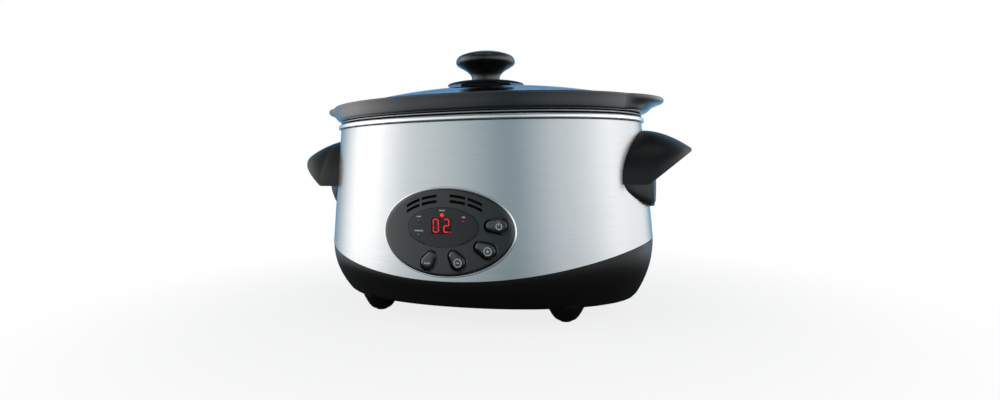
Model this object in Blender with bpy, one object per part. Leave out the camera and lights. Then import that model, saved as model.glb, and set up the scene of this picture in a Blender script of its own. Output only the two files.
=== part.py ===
"""Oval programmable slow cooker, modelled as the separate pieces it is assembled from.

Frame: origin at the centre of the footprint on the table, +X to the right along the long side,
-Y to the front with the control panel, +Z up. Sizes are in millimetres, and make_solid() turns
them into metres.
"""

import math

import bmesh
import bpy
from mathutils import Matrix, Vector

MM = 0.001
GAP = 0.3

# Plan of the body: a superellipse, slightly squarer than an ellipse.
POWER = 2.1
RATIO = 0.72
SEGMENTS = 44

# Outer wall: height and half length at that height. It leans out towards the base.
WALL = ((180.0, 156.0), (160.0, 157.9), (123.0, 161.4), (92.0, 164.3), (63.5, 166.7), (40.0, 168.6))
WALL_TOP = 180.0
STEEL = 0.8

# Seam between wall and base: a curve that is lowest at the front and back.
SEAM_LOW = 42.5
SEAM_RISE = 0.000968

# Base and feet.
BASE_BOTTOM = 14.0
BASE_WALL = 3.0
BASE_TUCK_ENDS = 17.0
BASE_TUCK_SIDES = 26.0
FOOT_X = 92.8
FOOT_Y = 61.2
INLET_Z = 30.0
INLET_FACE = 120.6

# Liner, heat shield and boards.
BOWL_BOTTOM = 52.0
BOWL_SHEET = 1.0
SHIELD_Z = 40.0
BOARD = 1.6
DISPLAY_BOARD_Y = -104.0

# Crock rim.
RIM_TOP = 203.1
RIM_LENGTH = 162.7
CROCK_WALL = 7.0
LEDGE_Z = 198.2
TAB_REACH = 176.7
TAB_HALF_WIDTH = 55.0

# Lid.
GLASS = 4.0
LID_LENGTH = 152.0
LID_WIDTH = 106.5
DOME_EDGE_Z = 203.0
DOME_TOP_Z = 221.7

# Handles.
HANDLE_TIP = 201.5
HANDLE_HALF_WIDTH = 56.3
HANDLE_TOP_Z = 172.5
HANDLE_TIP_Z = 152.0
HANDLE_RIM_SLOPE = 0.82
HANDLE_WALL = 3.6
HANDLE_CHEEK_Z = 122.5
HANDLE_ARCH = 2.0
HANDLE_BOSS = 168.5
HANDLE_OUTLINE = ((0, 171.0), (20, 168.2), (35.5, 159.6), (46.6, 148.0), (52.6, 136.9), (55.2, 127.5),
                  (55.0, 121.5), (52.0, 116.6), (44.0, 110.7), (27.9, 103.7), (9.0, 100.6))
HANDLE_FACE = ((0, 167.5), (13, 165.0), (22.5, 157.5), (28.5, 147.3), (31, 136.9), (31, 127.5),
               (30.4, 121.5), (28.5, 115.2), (25, 109.5), (19, 104.6), (8, 103.4))
HANDLE_SCREW_Y = 20.0
HANDLE_SCREW_Z = 113.0
HANDLE_SCREW_HOLE = 2.2

# Control panel, as a curved plate that follows the wall: centre, half sizes and height above it.
PANEL_X = 0.35
PANEL_Z = 84.8
PANEL_RX = 59.65
PANEL_RZ = 37.15
PANEL_PROUD = 3.1
INLAY_X = -1.2
INLAY_Z = 88.95
INLAY_RX = 32.8
INLAY_RZ = 17.05
INLAY_DEPTH = 0.9
WINDOW_X = -2.1
WINDOW_Z = 90.3
WINDOW_RX = 9.0
WINDOW_RZ = 6.9
BUTTON_TRAVEL = 1.0

# Buttons: centre of the round end, centre of the narrow end, and the two end radii.
BUTTONS = {
    "button_mode": ((-14.6, 58.7), (-11.2, 64.2), 6.2, 4.4),
    "button_minus": ((13.3, 59.5), (9.2, 65.2), 6.3, 4.3),
    "button_plus": ((39.1, 69.6), (31.8, 72.9), 6.4, 4.4),
    "button_power": ((49.0, 90.6), (40.7, 90.6), 6.1, 4.6),
}
LEDS = ((-1.6, 99.4), (-23.4, 94.6), (-23.3, 82.3), (18.0, 94.2))

# Vent slots, as start and end in x. Both rows follow an oval that is a share of the panel's own.
VENT_SPANS = ((-35.5, -22.6), (-20.6, -6.4), (5.4, 19.4), (21.5, 34.0))
VENT_DROPS = (0.0, 4.7)
VENT_SHARE = 0.84
VENT_HALF_HEIGHT = 1.1


def remove_everything():
    for item in list(bpy.data.objects):
        bpy.data.objects.remove(item)


def finish_material(name, colour, roughness, metallic=0.0, alpha=1.0):
    made = bpy.data.materials.new(name)
    made.use_nodes = True
    shader = made.node_tree.nodes["Principled BSDF"]
    shader.inputs["Base Color"].default_value = (*colour, 1.0)
    shader.inputs["Roughness"].default_value = roughness
    shader.inputs["Metallic"].default_value = metallic
    shader.inputs["Alpha"].default_value = alpha
    return made


def make_solid(name, points, faces, look=None):
    """A closed mesh object from points in millimetres, with its faces turned outwards."""
    mesh = bpy.data.meshes.new(name)
    mesh.from_pydata([Vector(p) * MM for p in points], [], faces)
    work = bmesh.new()
    work.from_mesh(mesh)
    bmesh.ops.remove_doubles(work, verts=work.verts, dist=0.000001)
    bmesh.ops.recalc_face_normals(work, faces=work.faces)
    work.to_mesh(mesh)
    work.free()
    mesh.shade_smooth()
    mesh.set_sharp_from_angle(angle=math.radians(35.0))
    made = bpy.data.objects.new(name, mesh)
    bpy.context.scene.collection.objects.link(made)
    if look:
        mesh.materials.append(look)
    return made


def loft(name, rings, look=None, closed=False):
    """Joins rings of equally many points. A closed loft is a loop, any other is capped."""
    count = len(rings[0])
    points = [p for ring in rings for p in ring]
    last = len(rings) if closed else len(rings) - 1
    faces = []
    for row in range(last):
        low = row * count
        high = ((row + 1) % len(rings)) * count
        for k in range(count):
            after = (k + 1) % count
            faces.append((low + k, low + after, high + after, high + k))
    if not closed:
        faces.append(tuple(range(count)))
        faces.append(tuple(range((len(rings) - 1) * count, len(rings) * count)))
    return make_solid(name, points, faces, look)


def combine(target, tool, operation):
    """Applies a Boolean between two solids and removes the tool."""
    step = target.modifiers.new("Boolean", "BOOLEAN")
    step.operation = operation
    step.solver = "EXACT"
    step.object = tool
    graph = bpy.context.evaluated_depsgraph_get()
    result = bpy.data.meshes.new_from_object(target.evaluated_get(graph))
    target.modifiers.clear()
    target.data = result
    bpy.data.objects.remove(tool)
    result.shade_smooth()
    result.set_sharp_from_angle(angle=math.radians(35.0))


def cut(target, tool):
    combine(target, tool, "DIFFERENCE")


def unite(target, tool):
    combine(target, tool, "UNION")


def turned(name, profile, centre, look=None, axis="Z", segments=24, bored=False):
    """A turned piece. The profile is (radius, height along the axis), from one end to the other,
    or a closed loop when it is bored through."""
    turns = {"Z": Matrix.Identity(3), "X": Matrix.Rotation(math.pi / 2, 3, "Y"),
             "Y": Matrix.Rotation(-math.pi / 2, 3, "X")}
    turn = turns[axis]
    rings = []
    for radius, along in profile:
        ring = []
        for k in range(segments):
            angle = 2 * math.pi * k / segments
            spot = Vector((radius * math.cos(angle), radius * math.sin(angle), along))
            ring.append(Vector(centre) + turn @ spot)
        rings.append(ring)
    return loft(name, rings, look, closed=bored)


def block(name, low, high, look=None):
    """A rectangular solid between two corners."""
    points = [(x, y, z) for z in (low[2], high[2]) for x, y in (
        (low[0], low[1]), (high[0], low[1]), (high[0], high[1]), (low[0], high[1]))]
    faces = [(0, 1, 2, 3), (4, 5, 6, 7), (0, 1, 5, 4), (1, 2, 6, 5), (2, 3, 7, 6), (3, 0, 4, 7)]
    return make_solid(name, points, faces, look)


def signed_power(value, exponent):
    return math.copysign(abs(value) ** exponent, value)


def oval_point(half_length, half_width, angle, height):
    across = signed_power(math.cos(angle), 2 / POWER)
    along = signed_power(math.sin(angle), 2 / POWER)
    return (half_length * across, half_width * along, height)


def oval(half_length, half_width, height):
    angles = [2 * math.pi * k / SEGMENTS for k in range(SEGMENTS)]
    return [oval_point(half_length, half_width, a, height) for a in angles]


def wall_half(height):
    """Half length of the outer wall at a height, along its straight stretches."""
    if height >= WALL[0][0]:
        return WALL[0][1]
    for (z_high, a_high), (z_low, a_low) in zip(WALL, WALL[1:]):
        if height >= z_low:
            share = (z_high - height) / (z_high - z_low)
            return a_high + share * (a_low - a_high)
    return WALL[-1][1]


def wall_y(x, z):
    """How far in front of the centre plane the outer wall stands."""
    half = wall_half(z)
    return RATIO * half * (1 - (abs(x) / half) ** POWER) ** (1 / POWER)


def around_wall(inset, height):
    """A ring inside or outside the wall. The height is a number or a function of x."""
    ring = []
    for k in range(SEGMENTS):
        angle = 2 * math.pi * k / SEGMENTS
        level = height if not callable(height) else height(WALL[-1][1] * math.cos(angle))
        for _ in range(4):
            half = wall_half(level)
            spot = oval_point(half - inset, RATIO * half - inset, angle, level)
            if callable(height):
                level = height(spot[0])
        ring.append((spot[0], spot[1], level))
    return ring


def seam(lift):
    """The seam's height as a function of x, raised by lift."""
    return lambda x: SEAM_LOW + SEAM_RISE * x * x + lift


def base_ring(fall, inset=0.2, lift=0.0):
    """A ring of the base: fall is 0 at the seam and 1 at the bottom. The inset comes on top of the
    base's own tuck, which is deeper along the sides than at the ends."""
    ring = []
    for x, y, z in around_wall(0.0, seam(0.0)):
        half = wall_half(z)
        shorter = 1 - (BASE_TUCK_ENDS * fall ** 2.15 + inset) / half
        narrower = 1 - (BASE_TUCK_SIDES * fall ** 1.9 + inset) / (RATIO * half)
        ring.append((x * shorter, y * narrower, z + fall * (BASE_BOTTOM - z) + lift))
    return ring


def on_panel(x, z, proud):
    """A point in front of the wall, by its height above the wall."""
    return (x, -(wall_y(x, z) + proud), z)


def patch(name, centre, half, steps, look=None, power=2.0, segments=36, inner=(0.68, 0.36)):
    """A curved plate on the front wall. Each step is (share of the half sizes, height above the
    wall), from the middle of its front, round its edge, to the middle of its back."""
    def ring(share, proud):
        spots = []
        for k in range(segments):
            angle = 2 * math.pi * k / segments
            x = centre[0] + half[0] * share * signed_power(math.cos(angle), 2 / power)
            z = centre[1] + half[1] * share * signed_power(math.sin(angle), 2 / power)
            spots.append(on_panel(x, z, proud))
        return spots
    front = steps[0][1]
    back = steps[-1][1]
    rings = [ring(share, front) for share in reversed(inner)]
    rings += [ring(share, proud) for share, proud in steps]
    rings += [ring(share, back) for share in inner]
    return loft(name, rings, look)


def teardrop(big, small, big_radius, small_radius, offset, count=6):
    """Outline round two circles, in (x, z)."""
    big = Vector(big)
    small = Vector(small)
    line = small - big
    heading = math.atan2(line.y, line.x)
    lean = math.acos((big_radius - small_radius) / line.length)
    outline = []
    for k in range(count + 1):
        angle = heading - lean + 2 * lean * k / count
        outline.append(small + Vector((math.cos(angle), math.sin(angle))) * (small_radius + offset))
    for k in range(count + 1):
        angle = heading + lean + (2 * math.pi - 2 * lean) * k / count
        outline.append(big + Vector((math.cos(angle), math.sin(angle))) * (big_radius + offset))
    return outline


def prism_y(name, outlines, look=None):
    """Joins outlines in (x, z), each at its own y, into one solid."""
    rings = [[(p[0], y, p[1]) for p in outline] for outline, y in outlines]
    return loft(name, rings, look)


def build_shell(steel):
    """Thin wall with an inward lip at the top, open behind the panel and at the handle screws."""
    levels = [seam(GAP), 84.0, 123.0, 160.0, WALL_TOP]
    rings = [around_wall(0.0, z) for z in levels]
    rings += [around_wall(6.0, WALL_TOP), around_wall(6.0, WALL_TOP - STEEL)]
    rings += [around_wall(STEEL, z) for z in (WALL_TOP - STEEL, 160.0, 123.0, 84.0, seam(GAP))]
    shell = loft("outer_shell", rings, steel, closed=True)
    hole = patch("hole", (PANEL_X, PANEL_Z), (PANEL_RX, PANEL_RZ), ((0.952, 6.0), (0.952, -6.0)))
    cut(shell, hole)
    for side in (-1, 1):
        for y in (-HANDLE_SCREW_Y, HANDLE_SCREW_Y):
            span = sorted((side * 150.0, side * 172.0))
            bore = turned("bore", ((HANDLE_SCREW_HOLE, 0.0), (HANDLE_SCREW_HOLE, span[1] - span[0])),
                          (span[0], y, HANDLE_SCREW_Z), axis="X", segments=16)
            cut(shell, bore)
    return shell


def build_trim_ring(polished):
    """Polished bead that caps the wall and carries the liner's flange."""
    section = ((-2.0, 184.2), (-1.2, 185.0), (6.5, 185.0), (6.5, 180.6), (-1.2, 180.6), (-2.0, 181.6),
               (-2.3, 182.9))
    rings = [around_wall(inset, z) for inset, z in section]
    return loft("trim_ring", rings, polished, closed=True)


def build_bowl(alloy):
    """Liner: a flange that hangs on the trim ring, a wall and a floor, all one pressed sheet."""
    outside = ((0.4, 186.3), (8.5, 186.3), (9.0, 180.0), (24.0, 85.0), (29.0, 62.0), (33.0, 55.0),
               (41.0, BOWL_BOTTOM))
    rings = [around_wall(inset, z) for inset, z in reversed(outside)]
    rings.append(around_wall(0.4, 187.6))
    sheet = BOWL_SHEET
    inside = ((8.5, 187.6), (9.0 + sheet, 180.0), (24.0 + sheet, 85.0), (29.0 + sheet, 62.4),
              (33.0 + sheet, 56.0), (41.5, BOWL_BOTTOM + sheet))
    rings += [around_wall(inset, z) for inset, z in inside]
    bowl = loft("heating_bowl", rings, alloy)
    cut(bowl, turned("bore", ((3.0, 40.0), (3.0, 60.0)), (0, 0, 0), segments=16))
    return bowl


def build_wrap(name, look, near, far, low, high):
    """A band round the liner, between two distances from it."""
    def gap_at(z, extra):
        share = (180.0 - z) / (180.0 - 85.0)
        return 9.0 + share * 15.0 - extra
    section = ((far, low), (far, high), (near, high), (near, low))
    rings = [around_wall(gap_at(z, extra), z) for extra, z in section]
    return loft(name, rings, look, closed=True)


def build_heat_shield(look):
    """Steel plate with four tapped posts that stand on the base."""
    half = (124.0, 82.0)
    rings = [oval(half[0], half[1], SHIELD_Z), oval(half[0], half[1], SHIELD_Z + 1.2)]
    shield = loft("heat_shield", rings, look)
    floor = BASE_BOTTOM + BASE_WALL + GAP
    for x, y in foot_places():
        unite(shield, turned("post", ((4.5, floor), (4.5, SHIELD_Z + 0.6)), (x, y, 0), segments=16))
        cut(shield, turned("bore", ((2.3, floor - 1), (2.3, SHIELD_Z + 3)), (x, y, 0), segments=12))
    cut(shield, turned("bore", ((3.0, 30.0), (3.0, 50.0)), (0, 0, 0), segments=16))
    return shield


def foot_places():
    return [(sx * FOOT_X, sy * FOOT_Y) for sy in (-1, 1) for sx in (-1, 1)]


def build_base(plastic):
    """Moulded tray: its rim tucks inside the wall, and four bell-shaped bosses stand below it."""
    falls = (1.0, 0.9, 0.72, 0.5, 0.25, 0.0)
    rings = [base_ring(1.0, inset=8.0)]
    rings += [base_ring(f, lift=0.0 if f < 1.0 else 1.2) for f in falls]
    tongue = STEEL + GAP
    rings += [around_wall(tongue, seam(0.0)), around_wall(tongue, seam(7.0))]
    rings += [around_wall(tongue + 2.2, seam(7.0)), around_wall(tongue + 2.2, seam(0.0))]
    inner = (0.25, 0.5, 0.72, 0.88)
    rings += [base_ring(f, inset=BASE_WALL + 0.2) for f in inner]
    rings.append(base_ring(1.0, inset=6.0, lift=BASE_WALL))
    base = loft("base", rings, plastic)
    boss = ((7.2, 1.4), (9.9, 3.2), (12.4, 6.2), (14.4, 9.6), (17.2, BASE_BOTTOM + 1.5),
            (17.4, BASE_BOTTOM + 3.0))
    floor = BASE_BOTTOM + BASE_WALL + 2.0
    for x, y in foot_places():
        unite(base, turned("boss", boss, (x, y, 0), segments=18))
        cut(base, turned("well", ((5.8, 1.0), (5.8, 5.8), (4.6, 5.8), (4.6, 10.2), (2.4, 10.2),
                                  (2.4, floor)), (x, y, 0), segments=16))
    return base


def build_feet(rubber, steel):
    """Rubber pads that plug into the bosses, over the screws that hold the base on."""
    for number, (x, y) in enumerate(foot_places(), 1):
        pad = ((4.9, 0.0), (5.4, 0.5), (5.4, 5.4))
        turned(f"foot_pad_{number}", pad, (x, y, 0), rubber, segments=16)
        screw = ((4.0, 6.4), (4.2, 9.8), (2.0, 9.8), (2.0, 32.0))
        turned(f"base_screw_{number}", screw, (x, y, 0), steel, segments=12)


def build_fixings(steel):
    """Bolt and nut that pull the liner down on the heat shield."""
    bolt = ((2.5, 34.0), (2.5, BOWL_BOTTOM + BOWL_SHEET + GAP), (5.5, BOWL_BOTTOM + BOWL_SHEET + GAP),
            (4.8, BOWL_BOTTOM + BOWL_SHEET + 1.9))
    turned("tie_bolt", bolt, (0, 0, 0), steel, segments=16)
    nut = ((4.8, 35.5), (4.8, 39.6), (3.3, 39.6), (3.3, 35.5))
    turned("tie_nut", nut, (0, 0, 0), steel, segments=6, bored=True)


def build_electrics(looks):
    """Boards and sensors in the base, and the mains inlet bushing at the back."""
    turned("thermal_fuse", ((2.8, -10.0), (2.8, 10.0)), (-40, 20, 48.6), looks["sensor"], axis="X",
           segments=12)
    turned("temperature_sensor", ((4.0, 43.0), (4.0, 47.0), (7.0, 47.0), (7.0, 51.6)), (40, -20, 0),
           looks["sensor"], segments=16)
    board_z = 20.5
    block("power_board", (17, -32, board_z), (83, 32, board_z + BOARD), looks["board"])
    top = board_z + BOARD + GAP
    block("transformer", (24, -14, top), (54, 14, top + 16), looks["coil"])
    block("relay", (61, -10, top), (77, 9, top + 13), looks["relay"])
    base = bpy.data.objects["base"]
    spot = (0, 0, INLET_Z)
    seat = ((10.0, 102.0), (10.0, INLET_FACE))
    unite(base, turned("seat", seat, spot, axis="Y", segments=16))
    cut(base, turned("hole", ((5.5, 95.0), (5.5, 130.0)), spot, axis="Y", segments=16))
    face = INLET_FACE + GAP
    bush = ((5.1, 104.0), (5.1, face), (8.0, face), (8.0, face + 1.4), (5.4, face + 3.0),
            (3.6, face + 3.0), (3.6, 104.0))
    turned("cord_gland", bush, spot, looks["rubber"], axis="Y", segments=16, bored=True)


def build_crock(glaze):
    """Stoneware pot: a rim band with a ledge for the lid, and two tabs to lift it by."""
    outer = ((39.0, 55.0), (33.5, 59.0), (29.0, 70.0), (26.0, 88.0), (19.0, 130.0), (12.0, 180.0),
             (10.8, 188.0))
    rings = [around_wall(inset, z) for inset, z in outer]
    rim = ((155.6, 188.0), (158.6, 190.3), (159.4, 192.2), (RIM_LENGTH - 0.3, 201.6),
           (RIM_LENGTH - 1.4, RIM_TOP))
    rings += [oval(a, RATIO * a, z) for a, z in rim]
    ledge = ((153.6, 107.9, RIM_TOP), (152.7, 107.1, RIM_TOP - 0.9), (152.7, 107.1, LEDGE_Z),
             (146.0, 100.6, LEDGE_Z))
    rings += [oval(a, b, z) for a, b, z in ledge]
    inner = ((12.0, 190.0), (12.0 + CROCK_WALL, 178.0), (19.0 + CROCK_WALL, 130.0),
             (26.0 + CROCK_WALL, 88.0), (30.0 + CROCK_WALL, 72.0), (37.0 + CROCK_WALL, 64.0),
             (52.0 + CROCK_WALL, 62.0))
    rings += [around_wall(inset, z) for inset, z in inner]
    crock = loft("crock", rings, glaze)
    for side in (-1, 1):
        rings = []
        for shrink, z in ((15.5, 190.4), (13.0, 192.6), (9.0, 195.2), (2.5, 197.2), (0.5, 198.4),
                          (0.0, 200.2), (0.5, 201.8), (2.4, 202.8)):
            outer_edge = []
            inner_edge = []
            for k in range(17):
                angle = math.pi * (k / 16 - 0.5)
                y = (TAB_HALF_WIDTH - shrink) * signed_power(math.sin(angle), 0.8)
                back = 155.5 * math.sqrt(1 - (y / 109.5) ** 2)
                reach = (TAB_REACH - shrink - 156.1) * max(math.cos(angle), 0.0) ** 0.8
                outer_edge.append((side * (back + 0.6 + reach), y, z))
                inner_edge.append((side * (back - 1.0), y, z))
            rings.append(outer_edge + inner_edge[::-1])
        unite(crock, loft("tab", rings))
    return crock


def build_lid(looks):
    """Domed glass with its knob, flange, gasket, washer and screw on the centre line."""
    def dome(share, drop):
        height = DOME_EDGE_Z + (DOME_TOP_Z - DOME_EDGE_Z) * (1 - share * share) - drop
        return oval(150.0 * share, 105.0 * share, height)
    rings = [dome(s, 0.0) for s in (0.02, 0.3, 0.5, 0.7, 0.86, 0.97)]
    rings += [oval(LID_LENGTH - 0.6, LID_WIDTH - 0.6, DOME_EDGE_Z - 0.9)]
    rings += [oval(LID_LENGTH, LID_WIDTH, 200.6)]
    rings += [oval(LID_LENGTH - 0.8, LID_WIDTH - 0.8, LEDGE_Z + GAP)]
    rings += [dome(s, GLASS) for s in (0.96, 0.86, 0.7, 0.5, 0.3, 0.02)]
    glass = loft("lid_glass", rings, looks["glass"])
    cut(glass, turned("bore", ((4.0, 200.0), (4.0, 240.0)), (0, 0, 0), segments=16))
    top = DOME_TOP_Z
    seal = ((3.2, top + GAP), (26.0, top + GAP), (26.0, top + 1.5), (3.2, top + 1.5))
    turned("knob_seal", seal, (0, 0, 0), looks["rubber"], segments=24, bored=True)
    skirt = ((3.2, top + 1.8), (38.2, top + 1.8), (39.4, top + 2.3), (39.2, top + 3.2),
             (36.0, top + 4.0), (20.0, top + 5.3), (15.0, top + 6.0), (3.2, top + 6.0))
    turned("knob_skirt", skirt, (0, 0, 0), looks["knob"], segments=28, bored=True)
    knob = ((3.0, 228.0), (14.5, 228.0), (14.6, 232.0), (16.1, 235.5), (19.8, 239.0), (24.9, 242.0),
            (28.6, 245.0), (29.7, 249.5), (27.6, 252.4), (22.8, 254.9), (14.3, 257.6), (6.0, 259.0),
            (1.0, 259.2))
    turned("knob", knob, (0, 0, 0), looks["knob"], segments=26)
    cut(bpy.data.objects["knob"], turned("bore", ((3.0, 220.0), (3.0, 246.0)), (0, 0, 0), segments=12))
    under = DOME_TOP_Z - GLASS - 0.9
    washer = ((3.2, under - 1.4), (13.0, under - 1.4), (13.0, under - 0.2), (3.2, under - 0.2))
    turned("knob_washer", washer, (0, 0, 0), looks["steel"], segments=24, bored=True)
    screw = ((6.0, under - 4.2), (6.6, under - 1.7), (2.5, under - 1.7), (2.5, 244.0))
    turned("knob_screw", screw, (0, 0, 0), looks["steel"], segments=16)


def wall_x(y, z):
    """How far from the middle plane the outer wall stands at one end."""
    half = wall_half(z)
    return half * (1 - (abs(y) / (RATIO * half)) ** POWER) ** (1 / POWER)


def hood(side, shrink, start, low_extra, name, look=None):
    """The handle's arched hood from x = start to its tip, or its hollow when it is shrunk."""
    tip = HANDLE_TIP - shrink
    wide = HANDLE_HALF_WIDTH - shrink
    across = 18
    rings = []
    for k in range(9):
        x = start + (tip - 0.02 - start) * math.sin(math.pi / 2 * k / 8)
        plan = 1 - (max(x - 150.0, 0.0) / (tip - 150.0)) ** 2.5
        half = max(wide * plan ** 0.4, 0.5)
        fall = 18.0 * (max(x - 157.0, 0.0) / 44.5) ** 1.85
        rim = max(HANDLE_TIP_Z - HANDLE_RIM_SLOPE * (HANDLE_TIP - x), HANDLE_CHEEK_Z)
        crest = max(HANDLE_TOP_Z - fall - shrink, rim + 1.0)
        low = rim - low_extra
        ring = []
        for j in range(across + 1):
            angle = math.pi * j / across
            y = half * signed_power(math.cos(angle), 2 / HANDLE_ARCH)
            z = low + (crest - low) * max(math.sin(angle), 0.0) ** (2 / HANDLE_ARCH)
            ring.append((side * x, y, z))
        rings.append(ring)
    return loft(name, rings, look)


def both_halves(right_half):
    """A mirrored outline in (y, z), from its right half."""
    return list(right_half) + [(-y, z) for y, z in reversed(right_half) if y]


def build_handle(side, name, plastic):
    """Hooded grip, open below, on a shield-shaped boss that two screws hold to the wall."""
    handle = hood(side, 0.0, 140.0, 0.0, name, plastic)
    outline = both_halves(HANDLE_OUTLINE)
    back = [(side * 138.0, y, z) for y, z in outline]
    edge = [(side * (wall_x(y, z) + 0.8), y, z) for y, z in outline]
    shoulder = [(side * (wall_x(y * 0.91, z) + 4.5), y * 0.91, z * 0.99 + 1.3) for y, z in outline]
    front = [(side * HANDLE_BOSS, y, z) for y, z in both_halves(HANDLE_FACE)]
    unite(handle, loft("boss", [back, edge, shoulder, front]))
    cut(handle, hood(side, HANDLE_WALL, HANDLE_BOSS + 0.5, 12.0, "hollow"))
    room = [around_wall(-GAP, z) for z in (80.0, 92.0, 123.0, 160.0, 179.0)]
    cut(handle, loft("body_room", room))
    for y in (-HANDLE_SCREW_Y, HANDLE_SCREW_Y):
        ends = sorted((side * 150.0, side * 165.6))
        bore = ((2.0, ends[0]), (2.0, ends[1]))
        cut(handle, turned("bore", bore, (0, y, HANDLE_SCREW_Z), axis="X", segments=12))
    return handle


def build_handle_screws(steel):
    number = 0
    for side in (-1, 1):
        for y in (-HANDLE_SCREW_Y, HANDLE_SCREW_Y):
            number += 1
            profile = [(3.6, 153.6), (4.2, 156.6), (1.7, 156.6), (1.7, 164.6)]
            if side < 0:
                profile = [(r, -along) for r, along in reversed(profile)]
            turned(f"handle_screw_{number}", profile, (0, y, HANDLE_SCREW_Z), steel, axis="X",
                   segments=12)


def build_panel(looks):
    """Oval fascia that plugs into the wall's opening, with its inlay, window and lights."""
    proud = PANEL_PROUD
    steps = ((0.95, proud), (0.985, proud - 0.5), (1.0, proud - 1.3), (1.0, GAP), (0.945, GAP),
             (0.94, -0.9), (0.9, -0.9))
    fascia = patch("panel_fascia", (PANEL_X, PANEL_Z), (PANEL_RX, PANEL_RZ), steps, looks["panel"])
    sink = proud - INLAY_DEPTH
    centre = (INLAY_X, INLAY_Z)
    cut(fascia, patch("sink", centre, (INLAY_RX, INLAY_RZ), ((1.0, 8.0), (1.0, sink)), segments=30))
    for drop in VENT_DROPS:
        for start, end in VENT_SPANS:
            upper = []
            for k in range(4):
                x = start + (end - start) * k / 3
                share = (x - PANEL_X) / (PANEL_RX * VENT_SHARE)
                upper.append((x, PANEL_Z + PANEL_RZ * VENT_SHARE * math.sqrt(1 - share * share) - drop))
            outline = [(x, z + VENT_HALF_HEIGHT) for x, z in upper]
            outline += [(x, z - VENT_HALF_HEIGHT) for x, z in reversed(upper)]
            cut(fascia, prism_y("slot", [(outline, -130.0), (outline, -100.0)]))
    for big, small, big_radius, small_radius in BUTTONS.values():
        outline = teardrop(big, small, big_radius, small_radius, 0.4)
        cut(fascia, prism_y("hole", [(outline, -130.0), (outline, -100.0)]))
    inlay_half = (INLAY_RX - GAP, INLAY_RZ - GAP)
    inlay = patch("panel_inlay", centre, inlay_half, ((1.0, proud - 0.2), (1.0, sink + 0.15)),
                  looks["panel"], segments=30)
    window = ((WINDOW_X, WINDOW_Z), (WINDOW_RX, WINDOW_RZ))
    cut(inlay, patch("hole", *window, ((1.03, 8.0), (1.03, -8.0)), power=9.0, segments=16, inner=(0.4,)))
    cut(fascia, patch("hole", *window, ((0.98, 8.0), (0.98, -8.0)), power=9.0, segments=16, inner=(0.4,)))
    pane = ((0.985, proud - 0.25), (0.985, sink + 0.15))
    patch("display_window", *window, pane, looks["window"], power=9.0, segments=16, inner=(0.4,))
    for number, (x, z) in enumerate(LEDS, 1):
        for piece in (inlay, fascia):
            cut(piece, turned("hole", ((1.8, -130.0), (1.8, -100.0)), (x, 0, z), axis="Y", segments=12))
        tip = -(wall_y(x, z) + proud + 0.1)
        back = DISPLAY_BOARD_Y - GAP
        turned(f"led_{number}", ((0.9, tip), (1.5, tip + 0.5), (1.5, back)), (x, 0, z), looks["led"],
               axis="Y", segments=12)


def button_depths(big, small):
    """How deep the back of a button's cap, the back of its flange and the end of its stem lie."""
    spots = teardrop(big, small, 7.2, 5.3, 0.0)
    back = 1.25 - min(wall_y(x, z) for x, z in spots)
    flange = back + 1.4
    return back, flange, max(flange, DISPLAY_BOARD_Y - 6.3)


def build_display(looks):
    """Board behind the panel, with the digits and a switch for each button."""
    front = DISPLAY_BOARD_Y
    block("display_board", (-31, front, 51), (53, front + BOARD, 101.5), looks["board"])
    block("digit_display", (WINDOW_X - 9.5, -115.8, WINDOW_Z - 6.6),
          (WINDOW_X + 9.5, front - GAP, WINDOW_Z + 6.6), looks["relay"])
    for number, (big, small, *_) in enumerate(BUTTONS.values(), 1):
        x = (big[0] + small[0]) / 2
        z = (big[1] + small[1]) / 2
        plunger = button_depths(big, small)[2] + BUTTON_TRAVEL + GAP
        switch = ((1.6, plunger), (1.6, front - 3.6), (3.1, front - 3.6), (3.1, front - GAP))
        turned(f"tact_switch_{number}", switch, (x, 0, z), looks["relay"], axis="Y", segments=12)


def build_buttons(look):
    """Domed caps with a retaining flange behind the fascia and a stem towards the switch."""
    for name, (big, small, big_radius, small_radius) in BUTTONS.items():
        x = (big[0] + small[0]) / 2
        z = (big[1] + small[1]) / 2
        def outline(offset):
            return teardrop(big, small, big_radius, small_radius, offset)
        face = -(wall_y(x, z) + PANEL_PROUD)
        back, flange, stem_end = button_depths(big, small)
        sections = [(outline(-4.2), face - 1.6), (outline(-2.4), face - 1.3), (outline(-0.9), face - 0.6),
                    (outline(0.0), face + 0.4), (outline(0.0), back), (outline(0.9), back),
                    (outline(0.9), flange)]
        cap = prism_y(name, sections, look)
        if stem_end > flange:
            stem = turned("stem", ((2.2, flange - 0.8), (2.2, stem_end)), (x, 0, z), axis="Y", segments=12)
            unite(cap, stem)
        origin = Vector((x, face, z)) * MM
        cap.data.transform(Matrix.Translation(-origin))
        cap.location = origin


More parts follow.
